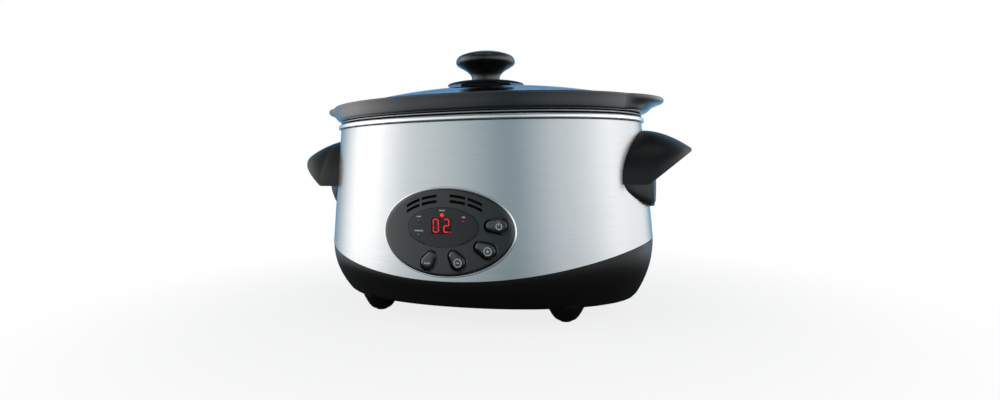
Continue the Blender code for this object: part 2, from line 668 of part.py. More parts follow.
def build_all():
    remove_everything()
    looks = {
        "brushed": finish_material("brushed_steel", (0.62, 0.63, 0.64), 0.3, 1.0),
        "polished": finish_material("polished_steel", (0.85, 0.86, 0.87), 0.12, 1.0),
        "alloy": finish_material("liner_alloy", (0.7, 0.7, 0.69), 0.35, 1.0),
        "black": finish_material("black_plastic", (0.012, 0.011, 0.011), 0.35),
        "panel": finish_material("panel_plastic", (0.03, 0.033, 0.036), 0.3),
        "window": finish_material("window", (0.05, 0.01, 0.01), 0.05, 0.0, 0.6),
        "led": finish_material("led", (0.6, 0.02, 0.02), 0.3),
        "rubber": finish_material("rubber", (0.02, 0.02, 0.02), 0.7),
        "steel": finish_material("fixing_steel", (0.55, 0.55, 0.56), 0.35, 1.0),
        "shield": finish_material("shield_steel", (0.6, 0.6, 0.6), 0.4, 1.0),
        "band": finish_material("heater_band", (0.35, 0.3, 0.24), 0.6),
        "wrap": finish_material("insulation", (0.8, 0.78, 0.72), 0.95),
        "sensor": finish_material("sensor", (0.7, 0.7, 0.68), 0.4, 1.0),
        "board": finish_material("circuit_board", (0.05, 0.22, 0.09), 0.5),
        "coil": finish_material("transformer", (0.7, 0.5, 0.12), 0.5),
        "relay": finish_material("component_body", (0.03, 0.03, 0.035), 0.5),
        "glaze": finish_material("crock_glaze", (0.015, 0.016, 0.017), 0.12),
        "glass": finish_material("lid_glass", (0.75, 0.85, 0.95), 0.03, 0.0, 0.35),
        "knob": finish_material("knob_plastic", (0.01, 0.01, 0.01), 0.25),
    }
    build_shell(looks["brushed"])
    build_trim_ring(looks["polished"])
    build_bowl(looks["alloy"])
    build_wrap("heater_band", looks["band"], 0.4, 1.6, 66.0, 104.0)
    build_wrap("insulation_wrap", looks["wrap"], 2.0, 5.2, 62.0, 124.0)
    build_heat_shield(looks["shield"])
    build_base(looks["black"])
    build_feet(looks["rubber"], looks["steel"])
    build_fixings(looks["steel"])
    build_electrics(looks)
    build_crock(looks["glaze"])
    build_lid(looks)
    build_handle(-1, "left_handle", looks["black"])
    build_handle(1, "right_handle", looks["black"])
    build_handle_screws(looks["steel"])
    build_panel(looks)
    build_display(looks)
    build_buttons(looks["panel"])


build_all()
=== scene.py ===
import math

import bmesh
import bpy
from mathutils import Matrix, Vector


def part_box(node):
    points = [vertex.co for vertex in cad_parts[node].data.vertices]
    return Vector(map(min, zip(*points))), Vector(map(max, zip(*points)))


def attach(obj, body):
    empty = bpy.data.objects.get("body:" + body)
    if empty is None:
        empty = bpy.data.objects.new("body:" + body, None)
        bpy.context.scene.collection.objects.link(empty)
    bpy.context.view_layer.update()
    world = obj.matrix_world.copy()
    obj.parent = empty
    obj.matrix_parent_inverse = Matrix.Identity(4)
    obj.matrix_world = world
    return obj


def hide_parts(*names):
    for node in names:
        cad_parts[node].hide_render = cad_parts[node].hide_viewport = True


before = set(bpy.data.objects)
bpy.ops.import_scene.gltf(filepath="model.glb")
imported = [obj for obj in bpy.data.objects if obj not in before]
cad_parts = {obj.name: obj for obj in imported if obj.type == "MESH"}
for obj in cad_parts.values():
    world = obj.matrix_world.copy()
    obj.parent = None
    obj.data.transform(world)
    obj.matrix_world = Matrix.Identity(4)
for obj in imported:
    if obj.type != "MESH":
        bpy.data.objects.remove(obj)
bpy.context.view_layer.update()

# ---------------------------------------------------------------------------------------------
# Camera: a low three-quarter view from the right of the control panel, rolled by under a degree.
# ---------------------------------------------------------------------------------------------
bpy.context.scene.view_settings.view_transform = "Standard"
VIEW_TURN = math.radians(18.13)
VIEW_PITCH = math.radians(-1.97)
VIEW_ROLL = math.radians(-0.832)
camera_data = bpy.data.cameras.new("camera")
camera_data.lens = 20.97
camera_data.sensor_width = 36.0
camera_data.shift_x = 0.0126
camera_data.shift_y = -0.0126
camera_data.clip_start = 0.01
camera = bpy.data.objects.new("camera", camera_data)
bpy.context.scene.collection.objects.link(camera)
ahead = Vector((-math.sin(VIEW_TURN) * math.cos(VIEW_PITCH),
                math.cos(VIEW_TURN) * math.cos(VIEW_PITCH), math.sin(VIEW_PITCH)))
level_right = Vector((math.cos(VIEW_TURN), math.sin(VIEW_TURN), 0.0))
level_up = level_right.cross(ahead)
right = level_right * math.cos(VIEW_ROLL) + level_up * math.sin(VIEW_ROLL)
up = level_up * math.cos(VIEW_ROLL) - level_right * math.sin(VIEW_ROLL)
turn = Matrix((right, up, -ahead)).transposed()
camera.matrix_world = Matrix.Translation((0.18927, -0.57795, 0.13948)) @ turn.to_4x4()
bpy.context.scene.camera = camera

# ---------------------------------------------------------------------------------------------
# Outer wall: a wrap of brushed stainless sheet, 0.8 mm thick, with its top edge turned in under
# the ring, its lower edge cut to the base's curve, and an oval opening behind the panel.
# Its plan is a superellipse that widens towards the base. Sizes are in millimetres.
# ---------------------------------------------------------------------------------------------
MM = 0.001
POWER = 2.1
RATIO = 0.72
WALL = ((180.0, 156.0), (160.0, 157.9), (123.0, 161.4), (92.0, 164.3), (63.5, 166.7), (40.0, 168.6))
SEAM_LOW = 42.5
SEAM_RISE = 0.000968
GAP = 0.3


def deselect():
    if bpy.context.object and bpy.context.object.mode != "OBJECT":
        bpy.ops.object.mode_set(mode="OBJECT")
    bpy.ops.object.select_all(action="DESELECT")


def make_active(piece):
    deselect()
    piece.select_set(True)
    bpy.context.view_layer.objects.active = piece


def wall_half(height):
    """Half length of the wall at a height."""
    for (z_high, a_high), (z_low, a_low) in zip(WALL, WALL[1:]):
        if height >= z_low or (z_low, a_low) == WALL[-1]:
            share = (z_high - min(height, WALL[0][0])) / (z_high - z_low)
            return a_high + share * (a_low - a_high)


def wall_y(x, z):
    """How far in front of the middle plane the wall stands."""
    half = wall_half(z)
    return RATIO * half * (1 - (min(abs(x), half) / half) ** POWER) ** (1 / POWER)


def seam_height(x):
    return SEAM_LOW + SEAM_RISE * x * x


def wall_rings(profile):
    """Rings (half length, half width, height) from (distance inside the wall, height)."""
    return [(wall_half(z) - inset, RATIO * wall_half(z) - inset, z) for inset, z in profile]


def grow(name, rings, segments=192, power=POWER):
    """Extrudes a superellipse ring by ring. Each ring is (half length, half width, height)."""
    deselect()
    bpy.ops.mesh.primitive_circle_add(vertices=segments, radius=1.0)
    piece = bpy.context.object
    piece.name = name
    for vertex in piece.data.vertices:
        for axis in (0, 1):
            value = vertex.co[axis]
            vertex.co[axis] = math.copysign(abs(value) ** (2 / power), value)
    bpy.ops.object.mode_set(mode="EDIT")
    bpy.ops.mesh.select_all(action="SELECT")
    length, width, height = rings[0]
    bpy.ops.transform.resize(value=(length * MM, width * MM, 1.0), center_override=(0, 0, 0))
    bpy.ops.transform.translate(value=(0, 0, height * MM))
    for next_length, next_width, next_height in rings[1:]:
        rise = (0, 0, (next_height - height) * MM)
        bpy.ops.mesh.extrude_region_move(TRANSFORM_OT_translate={"value": rise})
        scale = (next_length / length, next_width / width, 1.0)
        bpy.ops.transform.resize(value=scale, center_override=(0, 0, 0))
        length, width, height = next_length, next_width, next_height
    bpy.ops.object.mode_set(mode="OBJECT")
    return piece


def select_run(piece, first, count):
    """Selects a run of vertices by number, and nothing else, and leaves edit mode on."""
    make_active(piece)
    bpy.ops.object.mode_set(mode="EDIT")
    bpy.ops.mesh.select_mode(type="VERT")
    bpy.ops.mesh.select_all(action="DESELECT")
    bpy.ops.object.mode_set(mode="OBJECT")
    for vertex in piece.data.vertices[first:first + count]:
        vertex.select = True
    bpy.ops.object.mode_set(mode="EDIT")


def close_up(piece, segments=0):
    """Shrinks both open ends to a pole if the ring's size is given, welds, and faces outwards."""
    if segments:
        select_run(piece, 0, segments)
        bpy.ops.mesh.merge(type="CENTER")
        bpy.ops.object.mode_set(mode="OBJECT")
        select_run(piece, len(piece.data.vertices) - segments, segments)
        bpy.ops.mesh.merge(type="CENTER")
        bpy.ops.object.mode_set(mode="OBJECT")
    make_active(piece)
    bpy.ops.object.mode_set(mode="EDIT")
    bpy.ops.mesh.select_all(action="SELECT")
    bpy.ops.mesh.remove_doubles(threshold=0.000002)
    bpy.ops.mesh.normals_make_consistent(inside=False)
    bpy.ops.object.mode_set(mode="OBJECT")
    return piece


def capped(name, rings, segments=96, power=2.0):
    """A turned or oval solid with a pole at each end."""
    return close_up(grow(name, rings, segments, power), segments)


def looped(name, rings, segments=192, power=POWER):
    """A ring-shaped solid: the section runs round and meets its first ring again."""
    return close_up(grow(name, list(rings) + [rings[0]], segments, power))


def rounded(path, radius, steps=4, closed=False):
    """The corners of a section (two numbers each), rounded off by an arc-like curve."""
    out = []
    count = len(path)
    for k, point in enumerate(path):
        here = Vector(point[:2])
        cut = point[2] if len(point) > 2 else radius
        if (not closed and k in (0, count - 1)) or cut == 0:
            out.append(tuple(here))
            continue
        before = Vector(path[(k - 1) % count][:2]) - here
        after = Vector(path[(k + 1) % count][:2]) - here
        reach = min(cut, before.length * 0.48, after.length * 0.48)
        start = here + before.normalized() * reach
        end = here + after.normalized() * reach
        for step in range(steps + 1):
            t = step / steps
            out.append(tuple(start * (1 - t) ** 2 + here * 2 * t * (1 - t) + end * t * t))
    return out


def between(path, longest):
    """The same section with long straight stretches divided."""
    out = [path[0]]
    for a, b in zip(path, path[1:]):
        parts = max(1, math.ceil((Vector(b) - Vector(a)).length / longest))
        out += [tuple(Vector(a).lerp(Vector(b), k / parts)) for k in range(1, parts + 1)]
    return out


def apply_step(piece, kind, **settings):
    """Adds a modifier, applies it and clears it away."""
    make_active(piece)
    step = piece.modifiers.new(kind.title(), kind)
    for key, value in settings.items():
        setattr(step, key, value)
    bpy.ops.object.modifier_apply(modifier=step.name)
    return piece


def cut(piece, *tools):
    for tool in tools:
        apply_step(piece, "BOOLEAN", operation="DIFFERENCE", solver="EXACT", object=tool)
        bpy.data.objects.remove(tool)
    return piece


def unite(piece, *tools):
    for tool in tools:
        apply_step(piece, "BOOLEAN", operation="UNION", solver="EXACT", object=tool)
        bpy.data.objects.remove(tool)
    return piece


def smooth(piece, angle=35.0):
    make_active(piece)
    bpy.ops.object.shade_smooth_by_angle(angle=math.radians(angle))
    return piece


def finish_piece(piece, look, body, slot, *nodes):
    """Gives a piece its material and name's place in the frame."""
    piece.data.materials.clear()
    piece.data.materials.append(look)
    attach(piece, body)
    if nodes:
        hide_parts(*nodes)
    return piece


def new_look(name, colour, roughness, metallic=0.0, **sockets):
    """A Principled material. Extra sockets are given by name, with _ for a space."""
    look = bpy.data.materials.new(name)
    look.use_nodes = True
    shader = look.node_tree.nodes["Principled BSDF"]
    shader.inputs["Base Color"].default_value = (*colour, 1.0)
    shader.inputs["Roughness"].default_value = roughness
    shader.inputs["Metallic"].default_value = metallic
    for key, value in sockets.items():
        shader.inputs[key.replace("_", " ")].default_value = value
    return look


def add_node(tree, kind, **sockets):
    """A shader node with some of its sockets set, given by name with _ for a space."""
    node = tree.nodes.new("ShaderNode" + kind)
    for key, value in sockets.items():
        node.inputs[key.replace("_", " ")].default_value = value
    return node


def add_grain(look, stretch, roughness, bump=0.0, colour=None, detail=3.0, distance=0.00005):
    """Noise on Object coordinates that drives roughness, a little bump and the colour."""
    tree = look.node_tree
    links = tree.links
    shader = tree.nodes["Principled BSDF"]
    place = add_node(tree, "TexCoord")
    mapping = add_node(tree, "Mapping", Scale=stretch)
    noise = add_node(tree, "TexNoise", Scale=1.0, Detail=detail)
    spread = add_node(tree, "MapRange", From_Min=0.3, From_Max=0.7, To_Min=roughness[0],
                      To_Max=roughness[1])
    links.new(place.outputs["Object"], mapping.inputs["Vector"])
    links.new(mapping.outputs["Vector"], noise.inputs["Vector"])
    links.new(noise.outputs["Fac"], spread.inputs["Value"])
    links.new(spread.outputs["Result"], shader.inputs["Roughness"])
    if bump:
        relief = add_node(tree, "Bump", Strength=bump, Distance=distance)
        links.new(noise.outputs["Fac"], relief.inputs["Height"])
        links.new(relief.outputs["Normal"], shader.inputs["Normal"])
    if colour:
        ramp = add_node(tree, "Mix")
        ramp.data_type = "RGBA"
        ramp.inputs[6].default_value = (*colour[0], 1.0)
        ramp.inputs[7].default_value = (*colour[1], 1.0)
        links.new(noise.outputs["Fac"], ramp.inputs[0])
        links.new(ramp.outputs[2], shader.inputs["Base Color"])
    return look


brushed = new_look("brushed_stainless", (0.62, 0.62, 0.62), 0.3, 1.0, Anisotropic=0.7,
                   Anisotropic_Rotation=0.25)
add_grain(brushed, (20.0, 20.0, 1150.0), (0.26, 0.33), bump=0.035,
          colour=((0.595, 0.60, 0.605), (0.64, 0.64, 0.64)), detail=4.0)
tangent = add_node(brushed.node_tree, "Tangent")
tangent.direction_type = "RADIAL"
tangent.axis = "Z"
brushed.node_tree.links.new(tangent.outputs["Tangent"],
                            brushed.node_tree.nodes["Principled BSDF"].inputs["Tangent"])
polished = new_look("polished_steel", (0.82, 0.84, 0.85), 0.08, 1.0)
add_grain(polished, (40.0, 40.0, 900.0), (0.07, 0.13), bump=0.02)

SHEET = 0.8
LOW_ROWS = 84.0
wall_section = [(0.0, 43.0), (0.0, LOW_ROWS), (0.0, 180.0, 0.9), (6.0, 180.0, 0), (6.0, 179.2, 0),
                (SHEET, 179.2, 0.4), (SHEET, LOW_ROWS), (SHEET, 43.0)]
wall = looped("outer_shell", wall_rings(between(rounded(wall_section, 0.0), 9.0)))
for vertex in wall.data.vertices:
    x, y, z = (c / MM for c in vertex.co)
    if z < LOW_ROWS:
        share = (z - 43.0) / (LOW_ROWS - 43.0)
        low = seam_height(x) + GAP
        level = low + share * (LOW_ROWS - low)
        scale = wall_half(level) / wall_half(z)
        vertex.co = Vector((x * scale, y * scale, level)) * MM

# The wall is pressed outwards in a thin rounded lip round the panel, which catches the light.
PANEL_X = 0.35
PANEL_Z = 84.8
PANEL_RX = 59.65
PANEL_RZ = 37.15


def bend_to_wall(piece):
    """Presses a piece modelled on the middle plane, facing -Y, on to the front of the wall."""
    for vertex in piece.data.vertices:
        vertex.co.y -= wall_y(vertex.co.x / MM, vertex.co.z / MM) * MM
    piece.data.update()
    return piece


def stand_up(piece, x, z):
    """Turns a piece grown along Z to face -Y, with its middle at (x, z)."""
    piece.data.transform(Matrix.Rotation(math.pi / 2, 4, "X"))
    piece.data.transform(Matrix.Translation((x * MM, 0.0, z * MM)))
    return piece


opening = capped("opening", [(1, 0.6, 90), (56.8, 35.4, 90), (56.8, 35.4, 130), (1, 0.6, 130)])
stand_up(opening, PANEL_X, PANEL_Z)
cut(wall, opening)
smooth(wall)
finish_piece(wall, brushed, "housing", "brushed_wall", "outer_shell")

lip_section = ((0.25, -0.05), (0.25, 0.55), (0.6, 0.85), (1.1, 0.85), (1.6, 0.45), (1.75, -0.05))
lip = looped("panel_lip", [(PANEL_RX + out, PANEL_RZ + out, high) for out, high in lip_section],
             segments=160, power=2.0)
bend_to_wall(stand_up(lip, PANEL_X, PANEL_Z))
smooth(lip, 60.0)
finish_piece(lip, polished, "housing", "brushed_wall")

# ---------------------------------------------------------------------------------------------
# Trim ring: a polished bead rolled from stainless, which caps the wall and carries the liner.
# ---------------------------------------------------------------------------------------------
bead = [(6.5, 180.5, 0), (-1.8, 180.5, 0.4), (-2.4, 181.2, 0.6), (-2.3, 183.2, 1.6), (-1.0, 185.0, 1.4),
        (6.5, 185.0, 0)]
ring = looped("trim_ring", wall_rings(rounded(bead, 0.5, steps=6, closed=True)))
satin_ring = new_look("satin_ring", (0.92, 0.93, 0.94), 0.24, 1.0)
add_grain(satin_ring, (40.0, 40.0, 900.0), (0.2, 0.28), bump=0.02)
finish_piece(smooth(ring, 50.0), satin_ring, "housing", "polished_trim", "trim_ring")

# ---------------------------------------------------------------------------------------------
# Heating bowl: a liner drawn from aluminised sheet. Its rolled flange is the thin bright line
# between the ring and the crock, and hangs the whole bowl in the wall.
# ---------------------------------------------------------------------------------------------
liner_look = new_look("aluminised_liner", (0.3, 0.31, 0.31), 0.4, 1.0)
add_grain(liner_look, (260.0, 260.0, 60.0), (0.34, 0.5), bump=0.06)
outside = [(0.6, 186.3, 0.4), (8.3, 186.3, 1.5), (9.2, 178.0), (24.0, 85.0, 20.0), (29.0, 62.0, 8.0),
           (34.0, 52.2, 6.0), (52.0, 52.0)]
inside = [(x + (1.0 if z < 180 else 0.0), z + (1.1 if z > 180 or z < 56 else 0.3), *rest)
          for x, z, *rest in outside]
liner_path = between(rounded([(60.0, 52.0)] + outside[::-1], 0.5)[:-1], 9.0)
liner_path += between(rounded([(0.2, 186.5, 0), (0.2, 187.4, 0.3)] + inside + [(60.0, 53.1)], 0.5), 9.0)
liner_rings = [(2.0, 1.2, 52.0)] + wall_rings(liner_path) + [(2.0, 1.2, 53.1)]
liner = capped("heating_bowl", liner_rings, 160, POWER)
finish_piece(smooth(liner), liner_look, "housing", "liner", "heating_bowl")

# ---------------------------------------------------------------------------------------------
# Base: one black moulding. Its top edge follows the seam and tucks inside the wall, its side
# curves in to a flat floor, and four bell-shaped bosses stand below it.
# ---------------------------------------------------------------------------------------------
black_plastic = new_look("black_moulding", (0.006, 0.0055, 0.0055), 0.3, Coat_Weight=0.1,
                         Coat_Roughness=0.18, Specular_IOR_Level=0.3)
add_grain(black_plastic, (900.0, 900.0, 900.0), (0.3, 0.42), bump=0.05,
          colour=((0.005, 0.0045, 0.0045), (0.008, 0.0072, 0.0072)), distance=0.00003)
BASE_BOTTOM = 14.0
TUCK_ENDS = 17.0
TUCK_SIDES = 26.0
FALLS = [k / 16 for k in range(17)]
base_rows = [(1.0, 30.0, 0.0), (1.0, 12.0, 0.0), (1.0, 5.0, 0.0), (1.0, 2.2, 0.1), (1.0, 0.9, 0.5)]
base_rows += [(fall, 0.2, 0.0 if fall < 1 else 1.3) for fall in reversed(FALLS)]
base_rows += [(0.0, 0.45, 0.25), (0.0, 1.1, 0.3), (0.0, 1.1, 7.0), (0.0, 3.3, 7.0), (0.0, 3.3, 0.0)]
base_rows += [(fall, 3.2, 0.0) for fall in FALLS[2:15:2]]
base_rows += [(1.0, 5.0, 3.0), (1.0, 12.0, 3.0), (1.0, 30.0, 3.0)]
base = grow("base", [(100.0, 100.0, float(row)) for row in range(len(base_rows) + 2)])
for vertex in base.data.vertices:
    across, along = vertex.co.x / MM / 100.0, vertex.co.y / MM / 100.0
    row = round(vertex.co.z / MM) - 1
    pole = row < 0 or row >= len(base_rows)
    fall, inset, lift = base_rows[min(max(row, 0), len(base_rows) - 1)]
    level = seam_height(across * wall_half(55.0))
    level = seam_height(across * wall_half(level))
    half = wall_half(level + max(lift, 0.0) * (1 - fall))
    length = half - TUCK_ENDS * fall ** 2.15 - inset
    width = RATIO * half - TUCK_SIDES * fall ** 1.9 - inset
    share = 0.02 if pole else 1.0
    height = level + fall * (BASE_BOTTOM - level) + lift
    vertex.co = Vector((across * length * share, along * width * share, height)) * MM
close_up(base, 192)
foot_low, foot_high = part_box("foot_pad_2")
FOOT_X = (foot_low.x + foot_high.x) / 2 / MM
FOOT_Y = -(foot_low.y + foot_high.y) / 2 / MM
FEET = [(sx * FOOT_X, sy * FOOT_Y) for sy in (-1, 1) for sx in (-1, 1)]


def turned(name, section, centre=(0.0, 0.0, 0.0), axis="Z", segments=96, bored=False):
    """A turned piece from (radius, distance along its axis), solid or bored through."""
    rings = [(radius, radius, along) for radius, along in section]
    piece = looped(name, rings, segments, 2.0) if bored else capped(name, rings, segments, 2.0)
    if axis == "Y":
        piece.data.transform(Matrix.Rotation(-math.pi / 2, 4, "X"))
    if axis == "X":
        piece.data.transform(Matrix.Rotation(math.pi / 2, 4, "Y"))
    piece.data.transform(Matrix.Translation(Vector(centre) * MM))
    return piece


boss_section = rounded([(1.0, 1.4), (7.2, 1.4, 1.0), (9.9, 3.0, 2.5), (12.6, 6.3, 3.0),
                        (14.6, 9.8, 3.0), (17.4, 15.2, 2.0), (17.6, 18.3, 0), (1.0, 18.3)], 1.0)
for x, y in FEET:
    unite(base, turned("boss", boss_section, (x, y, 0), segments=64))
    cut(base, turned("well", [(0.5, 1.0), (5.7, 1.0), (5.7, 5.8), (0.5, 5.8)], (x, y, 0), segments=48))
inlet_low, inlet_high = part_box("cord_gland")
inlet = ((inlet_low.x + inlet_high.x) / 2 / MM, 0.0, (inlet_low.z + inlet_high.z) / 2 / MM)
inlet_face = inlet_high.y / MM - 3.3
unite(base, turned("seat", rounded([(0.5, 106.0), (10.4, 106.0, 0), (10.0, inlet_face, 0.8),
                                    (0.5, inlet_face)], 0.8), inlet, "Y", 64))
cut(base, turned("hole", [(0.5, 95.0), (5.5, 95.0), (5.5, 130.0), (0.5, 130.0)], inlet, "Y", 48))
finish_piece(smooth(base), black_plastic, "housing", "black_plastic", "base")

# ---------------------------------------------------------------------------------------------
# Feet: rubber pads pushed into the bosses over the base screws. Inlet: a rubber bushing.
# ---------------------------------------------------------------------------------------------
rubber = new_look("black_rubber", (0.02, 0.02, 0.02), 0.7)
add_grain(rubber, (700.0, 700.0, 700.0), (0.62, 0.82), bump=0.12)
pad_section = rounded([(0.5, 0.0), (4.9, 0.0, 0.5), (5.4, 1.0, 0.5), (5.4, 5.4, 0.3), (0.5, 5.4)], 0.4)
for number, (x, y) in enumerate(FEET, 1):
    pad = turned(f"foot_pad_{number}", pad_section, (x, y, 0), segments=48)
    finish_piece(smooth(pad), rubber, "housing", "rubber", f"foot_pad_{number}")
bush_section = [(5.1, 104.0, 0), (5.1, inlet_face + GAP, 0), (8.0, inlet_face + GAP, 0.6),
                (7.8, inlet_face + 1.7, 0.6), (5.4, inlet_face + 3.3, 0.6),
                (3.6, inlet_face + 3.3, 0.6), (3.6, 104.0, 0)]
gland = turned("cord_gland", rounded(bush_section, 0.4, closed=True), inlet, "Y", 48, bored=True)
finish_piece(smooth(gland), rubber, "housing", "rubber", "cord_gland")

# ---------------------------------------------------------------------------------------------
# Handles: hooded grips moulded in satin black, open below, each on a shield-shaped boss with
# steep sides that two screws hold to the wall.
# ---------------------------------------------------------------------------------------------
handle_look = new_look("satin_black_moulding", (0.005, 0.005, 0.005), 0.32, Coat_Weight=0.1,
                       Coat_Roughness=0.2, Specular_IOR_Level=0.3)
add_grain(handle_look, (1100.0, 1100.0, 1100.0), (0.34, 0.48), bump=0.08,
          colour=((0.004, 0.004, 0.004), (0.007, 0.007, 0.007)), distance=0.00003)
HOOD_ROOT = 150.0
HOOD_FALL = 18.0
TIP = 201.5
HALF_WIDTH = 56.3
TOP_Z = 172.5
TIP_Z = 152.0
RIM_SLOPE = 0.82
CHEEK_Z = 122.5
ARCH = 2.0
BOSS_FACE = 168.5
HANDLE_WALL = 3.6


def hood(name, side, shrink, start, drop, along=40, across=72):
    """A grid bent into the arched hood, closed across its flat underside and back."""
    tip = TIP - shrink
    deselect()
    bpy.ops.mesh.primitive_grid_add(x_subdivisions=along, y_subdivisions=across, size=2.0)
    piece = bpy.context.object
    piece.name = name
    for vertex in piece.data.vertices:
        reach = math.sin(math.pi / 4 * (vertex.co.x + 1))
        x = start + (tip - 0.01 - start) * reach
        plan = 1 - (max(x - HOOD_ROOT, 0.0) / (tip - HOOD_ROOT)) ** 2.5
        half = max((HALF_WIDTH - shrink) * plan ** 0.4, 0.3)
        fall = HOOD_FALL * (max(x - 157.0, 0.0) / 44.5) ** 1.85
        rim = max(TIP_Z - RIM_SLOPE * (TIP - x), CHEEK_Z)
        crest = max(TOP_Z - fall - shrink, rim + 0.8)
        low = rim - drop
        angle = math.pi / 2 * (vertex.co.y + 1)
        y = half * math.copysign(abs(math.cos(angle)) ** (2 / ARCH), math.cos(angle))
        z = low + (crest - low) * max(math.sin(angle), 0.0) ** (2 / ARCH)
        vertex.co = Vector((side * x, y, z)) * MM
    make_active(piece)
    bpy.ops.object.mode_set(mode="EDIT")
    bpy.ops.mesh.select_all(action="SELECT")
    bpy.ops.mesh.remove_doubles(threshold=0.00001)
    bpy.ops.mesh.select_all(action="DESELECT")
    bpy.ops.mesh.select_mode(type="EDGE")
    bpy.ops.mesh.select_non_manifold()
    bpy.ops.object.mode_set(mode="OBJECT")
    work = bmesh.new()
    work.from_mesh(piece.data)
    rows = {}
    for edge in work.edges:
        if edge.is_boundary:
            for vertex in edge.verts:
                rows.setdefault(round(vertex.co.x, 6), set()).add(vertex)
    levels = sorted(rows, key=lambda value: side * value)
    pairs = []
    for level in levels:
        group = sorted(rows[level], key=lambda v: v.co.y)
        pairs.append((group[0], group[-1]))
    back = sorted(rows[levels[0]], key=lambda v: -v.co.y)
    for (low_a, high_a), (low_b, high_b) in zip(pairs, pairs[1:]):
        corners = [low_a, high_a, high_b, low_b]
        unique = list(dict.fromkeys(corners))
        if len(unique) > 2:
            work.faces.new(unique)
    work.faces.new(back)
    bmesh.ops.recalc_face_normals(work, faces=work.faces)
    work.to_mesh(piece.data)
    work.free()
    return piece


def wall_x(y, z):
    half = wall_half(z)
    return half * (1 - (min(abs(y) / (RATIO * half), 1.0)) ** POWER) ** (1 / POWER)


def skin(name, rings):
    """Extrudes a loop ring by ring, puts each ring's points in place, and caps both ends."""
    count = len(rings[0])
    piece = grow(name, [(1.0, 1.0, float(row)) for row in range(len(rings))], count, 2.0)
    spots = [spot for ring in rings for spot in ring]
    for vertex, spot in zip(piece.data.vertices, spots):
        vertex.co = Vector(spot) * MM
    for first in (0, len(spots) - count):
        select_run(piece, first, count)
        bpy.ops.mesh.edge_face_add()
        bpy.ops.object.mode_set(mode="OBJECT")
    return close_up(piece)


# Right half of the boss, at the wall and at its face: (across, height, reach of the rounded corner).
shield = [(0, 171.0), (20, 168.2, 6), (35.5, 159.6, 6), (46.6, 148.0, 5), (52.6, 136.9, 4),
          (55.2, 127.5, 3), (55.0, 121.5, 2), (52.0, 116.6, 3), (44.0, 110.7, 5), (27.9, 103.7, 6),
          (9.0, 100.6, 4), (0, 100.5)]
shield_face = [(0, 167.5), (13, 165.0, 3), (22.5, 157.5, 3), (28.5, 147.3, 3), (31, 136.9, 3),
               (31, 127.5, 2), (30.4, 121.5, 2), (28.5, 115.2, 2), (25, 109.5, 2), (19, 104.6, 2),
               (8, 103.4, 2), (0, 103.4)]


def both_halves(right_half):
    half = rounded(right_half, 0.0, steps=3)
    return half[:-1] + [(-y, z) for y, z in reversed(half) if y > 0.01]


outline = both_halves(shield)
face_outline = both_halves(shield_face)
for side, name in ((-1, "left_handle"), (1, "right_handle")):
    handle = hood(name, side, 0.0, 140.0, 0.0)
    rings = [[(side * 138.0, y, z) for y, z in outline],
             [(side * (wall_x(y, z) + 0.8), y, z) for y, z in outline],
             [(side * (wall_x(y * 0.91, z) + 4.5), y * 0.91, z * 0.99 + 1.3) for y, z in outline],
             [(side * (BOSS_FACE - 0.5), y, z) for y, z in face_outline],
             [(side * BOSS_FACE, y * 0.985, 136 + (z - 136) * 0.985) for y, z in face_outline]]
    unite(handle, skin("boss", rings))
    cut(handle, hood("hollow", side, HANDLE_WALL, BOSS_FACE + 0.5, 12.0))
    room = capped("room", [(2.0, 1.2, 80.0)] + wall_rings([(-GAP, 80.0 + 3.3 * k) for k in range(31)])
                  + [(2.0, 1.2, 179.0)], 192, POWER)
    cut(handle, room)
    apply_step(handle, "BEVEL", width=0.0007, segments=3, limit_method="ANGLE",
               angle_limit=math.radians(40.0), use_clamp_overlap=True, harden_normals=False)
    smooth(handle, 40.0)
    apply_step(handle, "WEIGHTED_NORMAL", keep_sharp=True, weight=80)
    finish_piece(handle, handle_look, "housing", "handle_plastic", name)

# ---------------------------------------------------------------------------------------------
# Control panel: an oval moulding that plugs into the wall's opening. It has eight vent slots,
# a slightly sunk oval inlay, four raised button collars, and is modelled flat and then bent.
# ---------------------------------------------------------------------------------------------
panel_look = new_look("panel_moulding", (0.016, 0.0155, 0.0155), 0.28, Coat_Weight=0.4,
                      Coat_Roughness=0.16)
add_grain(panel_look, (1300.0, 1300.0, 1300.0), (0.22, 0.3), bump=0.05,
          colour=((0.0025, 0.0024, 0.0022), (0.005, 0.0048, 0.0045)), distance=0.00003)
PROUD = 3.1
BUTTONS = {
    "button_mode": ((-14.6, 58.7), (-11.2, 64.2), 6.2, 4.4),
    "button_minus": ((13.3, 59.5), (9.2, 65.2), 6.3, 4.3),
    "button_plus": ((39.1, 69.6), (31.8, 72.9), 6.4, 4.4),
    "button_power": ((49.0, 90.6), (40.7, 90.6), 6.1, 4.6),
}
VENT_SPANS = ((-35.5, -22.6), (-20.6, -6.4), (5.4, 19.4), (21.5, 34.0))
VENT_DROPS = (0.0, 4.7)
VENT_SHARE = 0.84
VENT_HALF_HEIGHT = 1.25
INLAY = (-1.2, 88.95, 32.8, 17.05)
WINDOW = (-2.1, 90.3, 9.0, 6.9)


def teardrop(big, small, big_radius, small_radius, offset, count=64):
    """Outline round two circles, as evenly numbered points."""
    big = Vector(big)
    small = Vector(small)
    line = small - big
    heading = math.atan2(line.y, line.x)
    lean = math.acos((big_radius - small_radius) / line.length)
    spots = []
    tip_count = count // 3
    for k in range(tip_count):
        angle = heading - lean + 2 * lean * k / (tip_count - 1)
        spots.append(small + Vector((math.cos(angle), math.sin(angle))) * (small_radius + offset))
    rest = count - tip_count
    for k in range(rest):
        angle = heading + lean + (2 * math.pi - 2 * lean) * k / (rest - 1)
        spots.append(big + Vector((math.cos(angle), math.sin(angle))) * (big_radius + offset))
    return spots


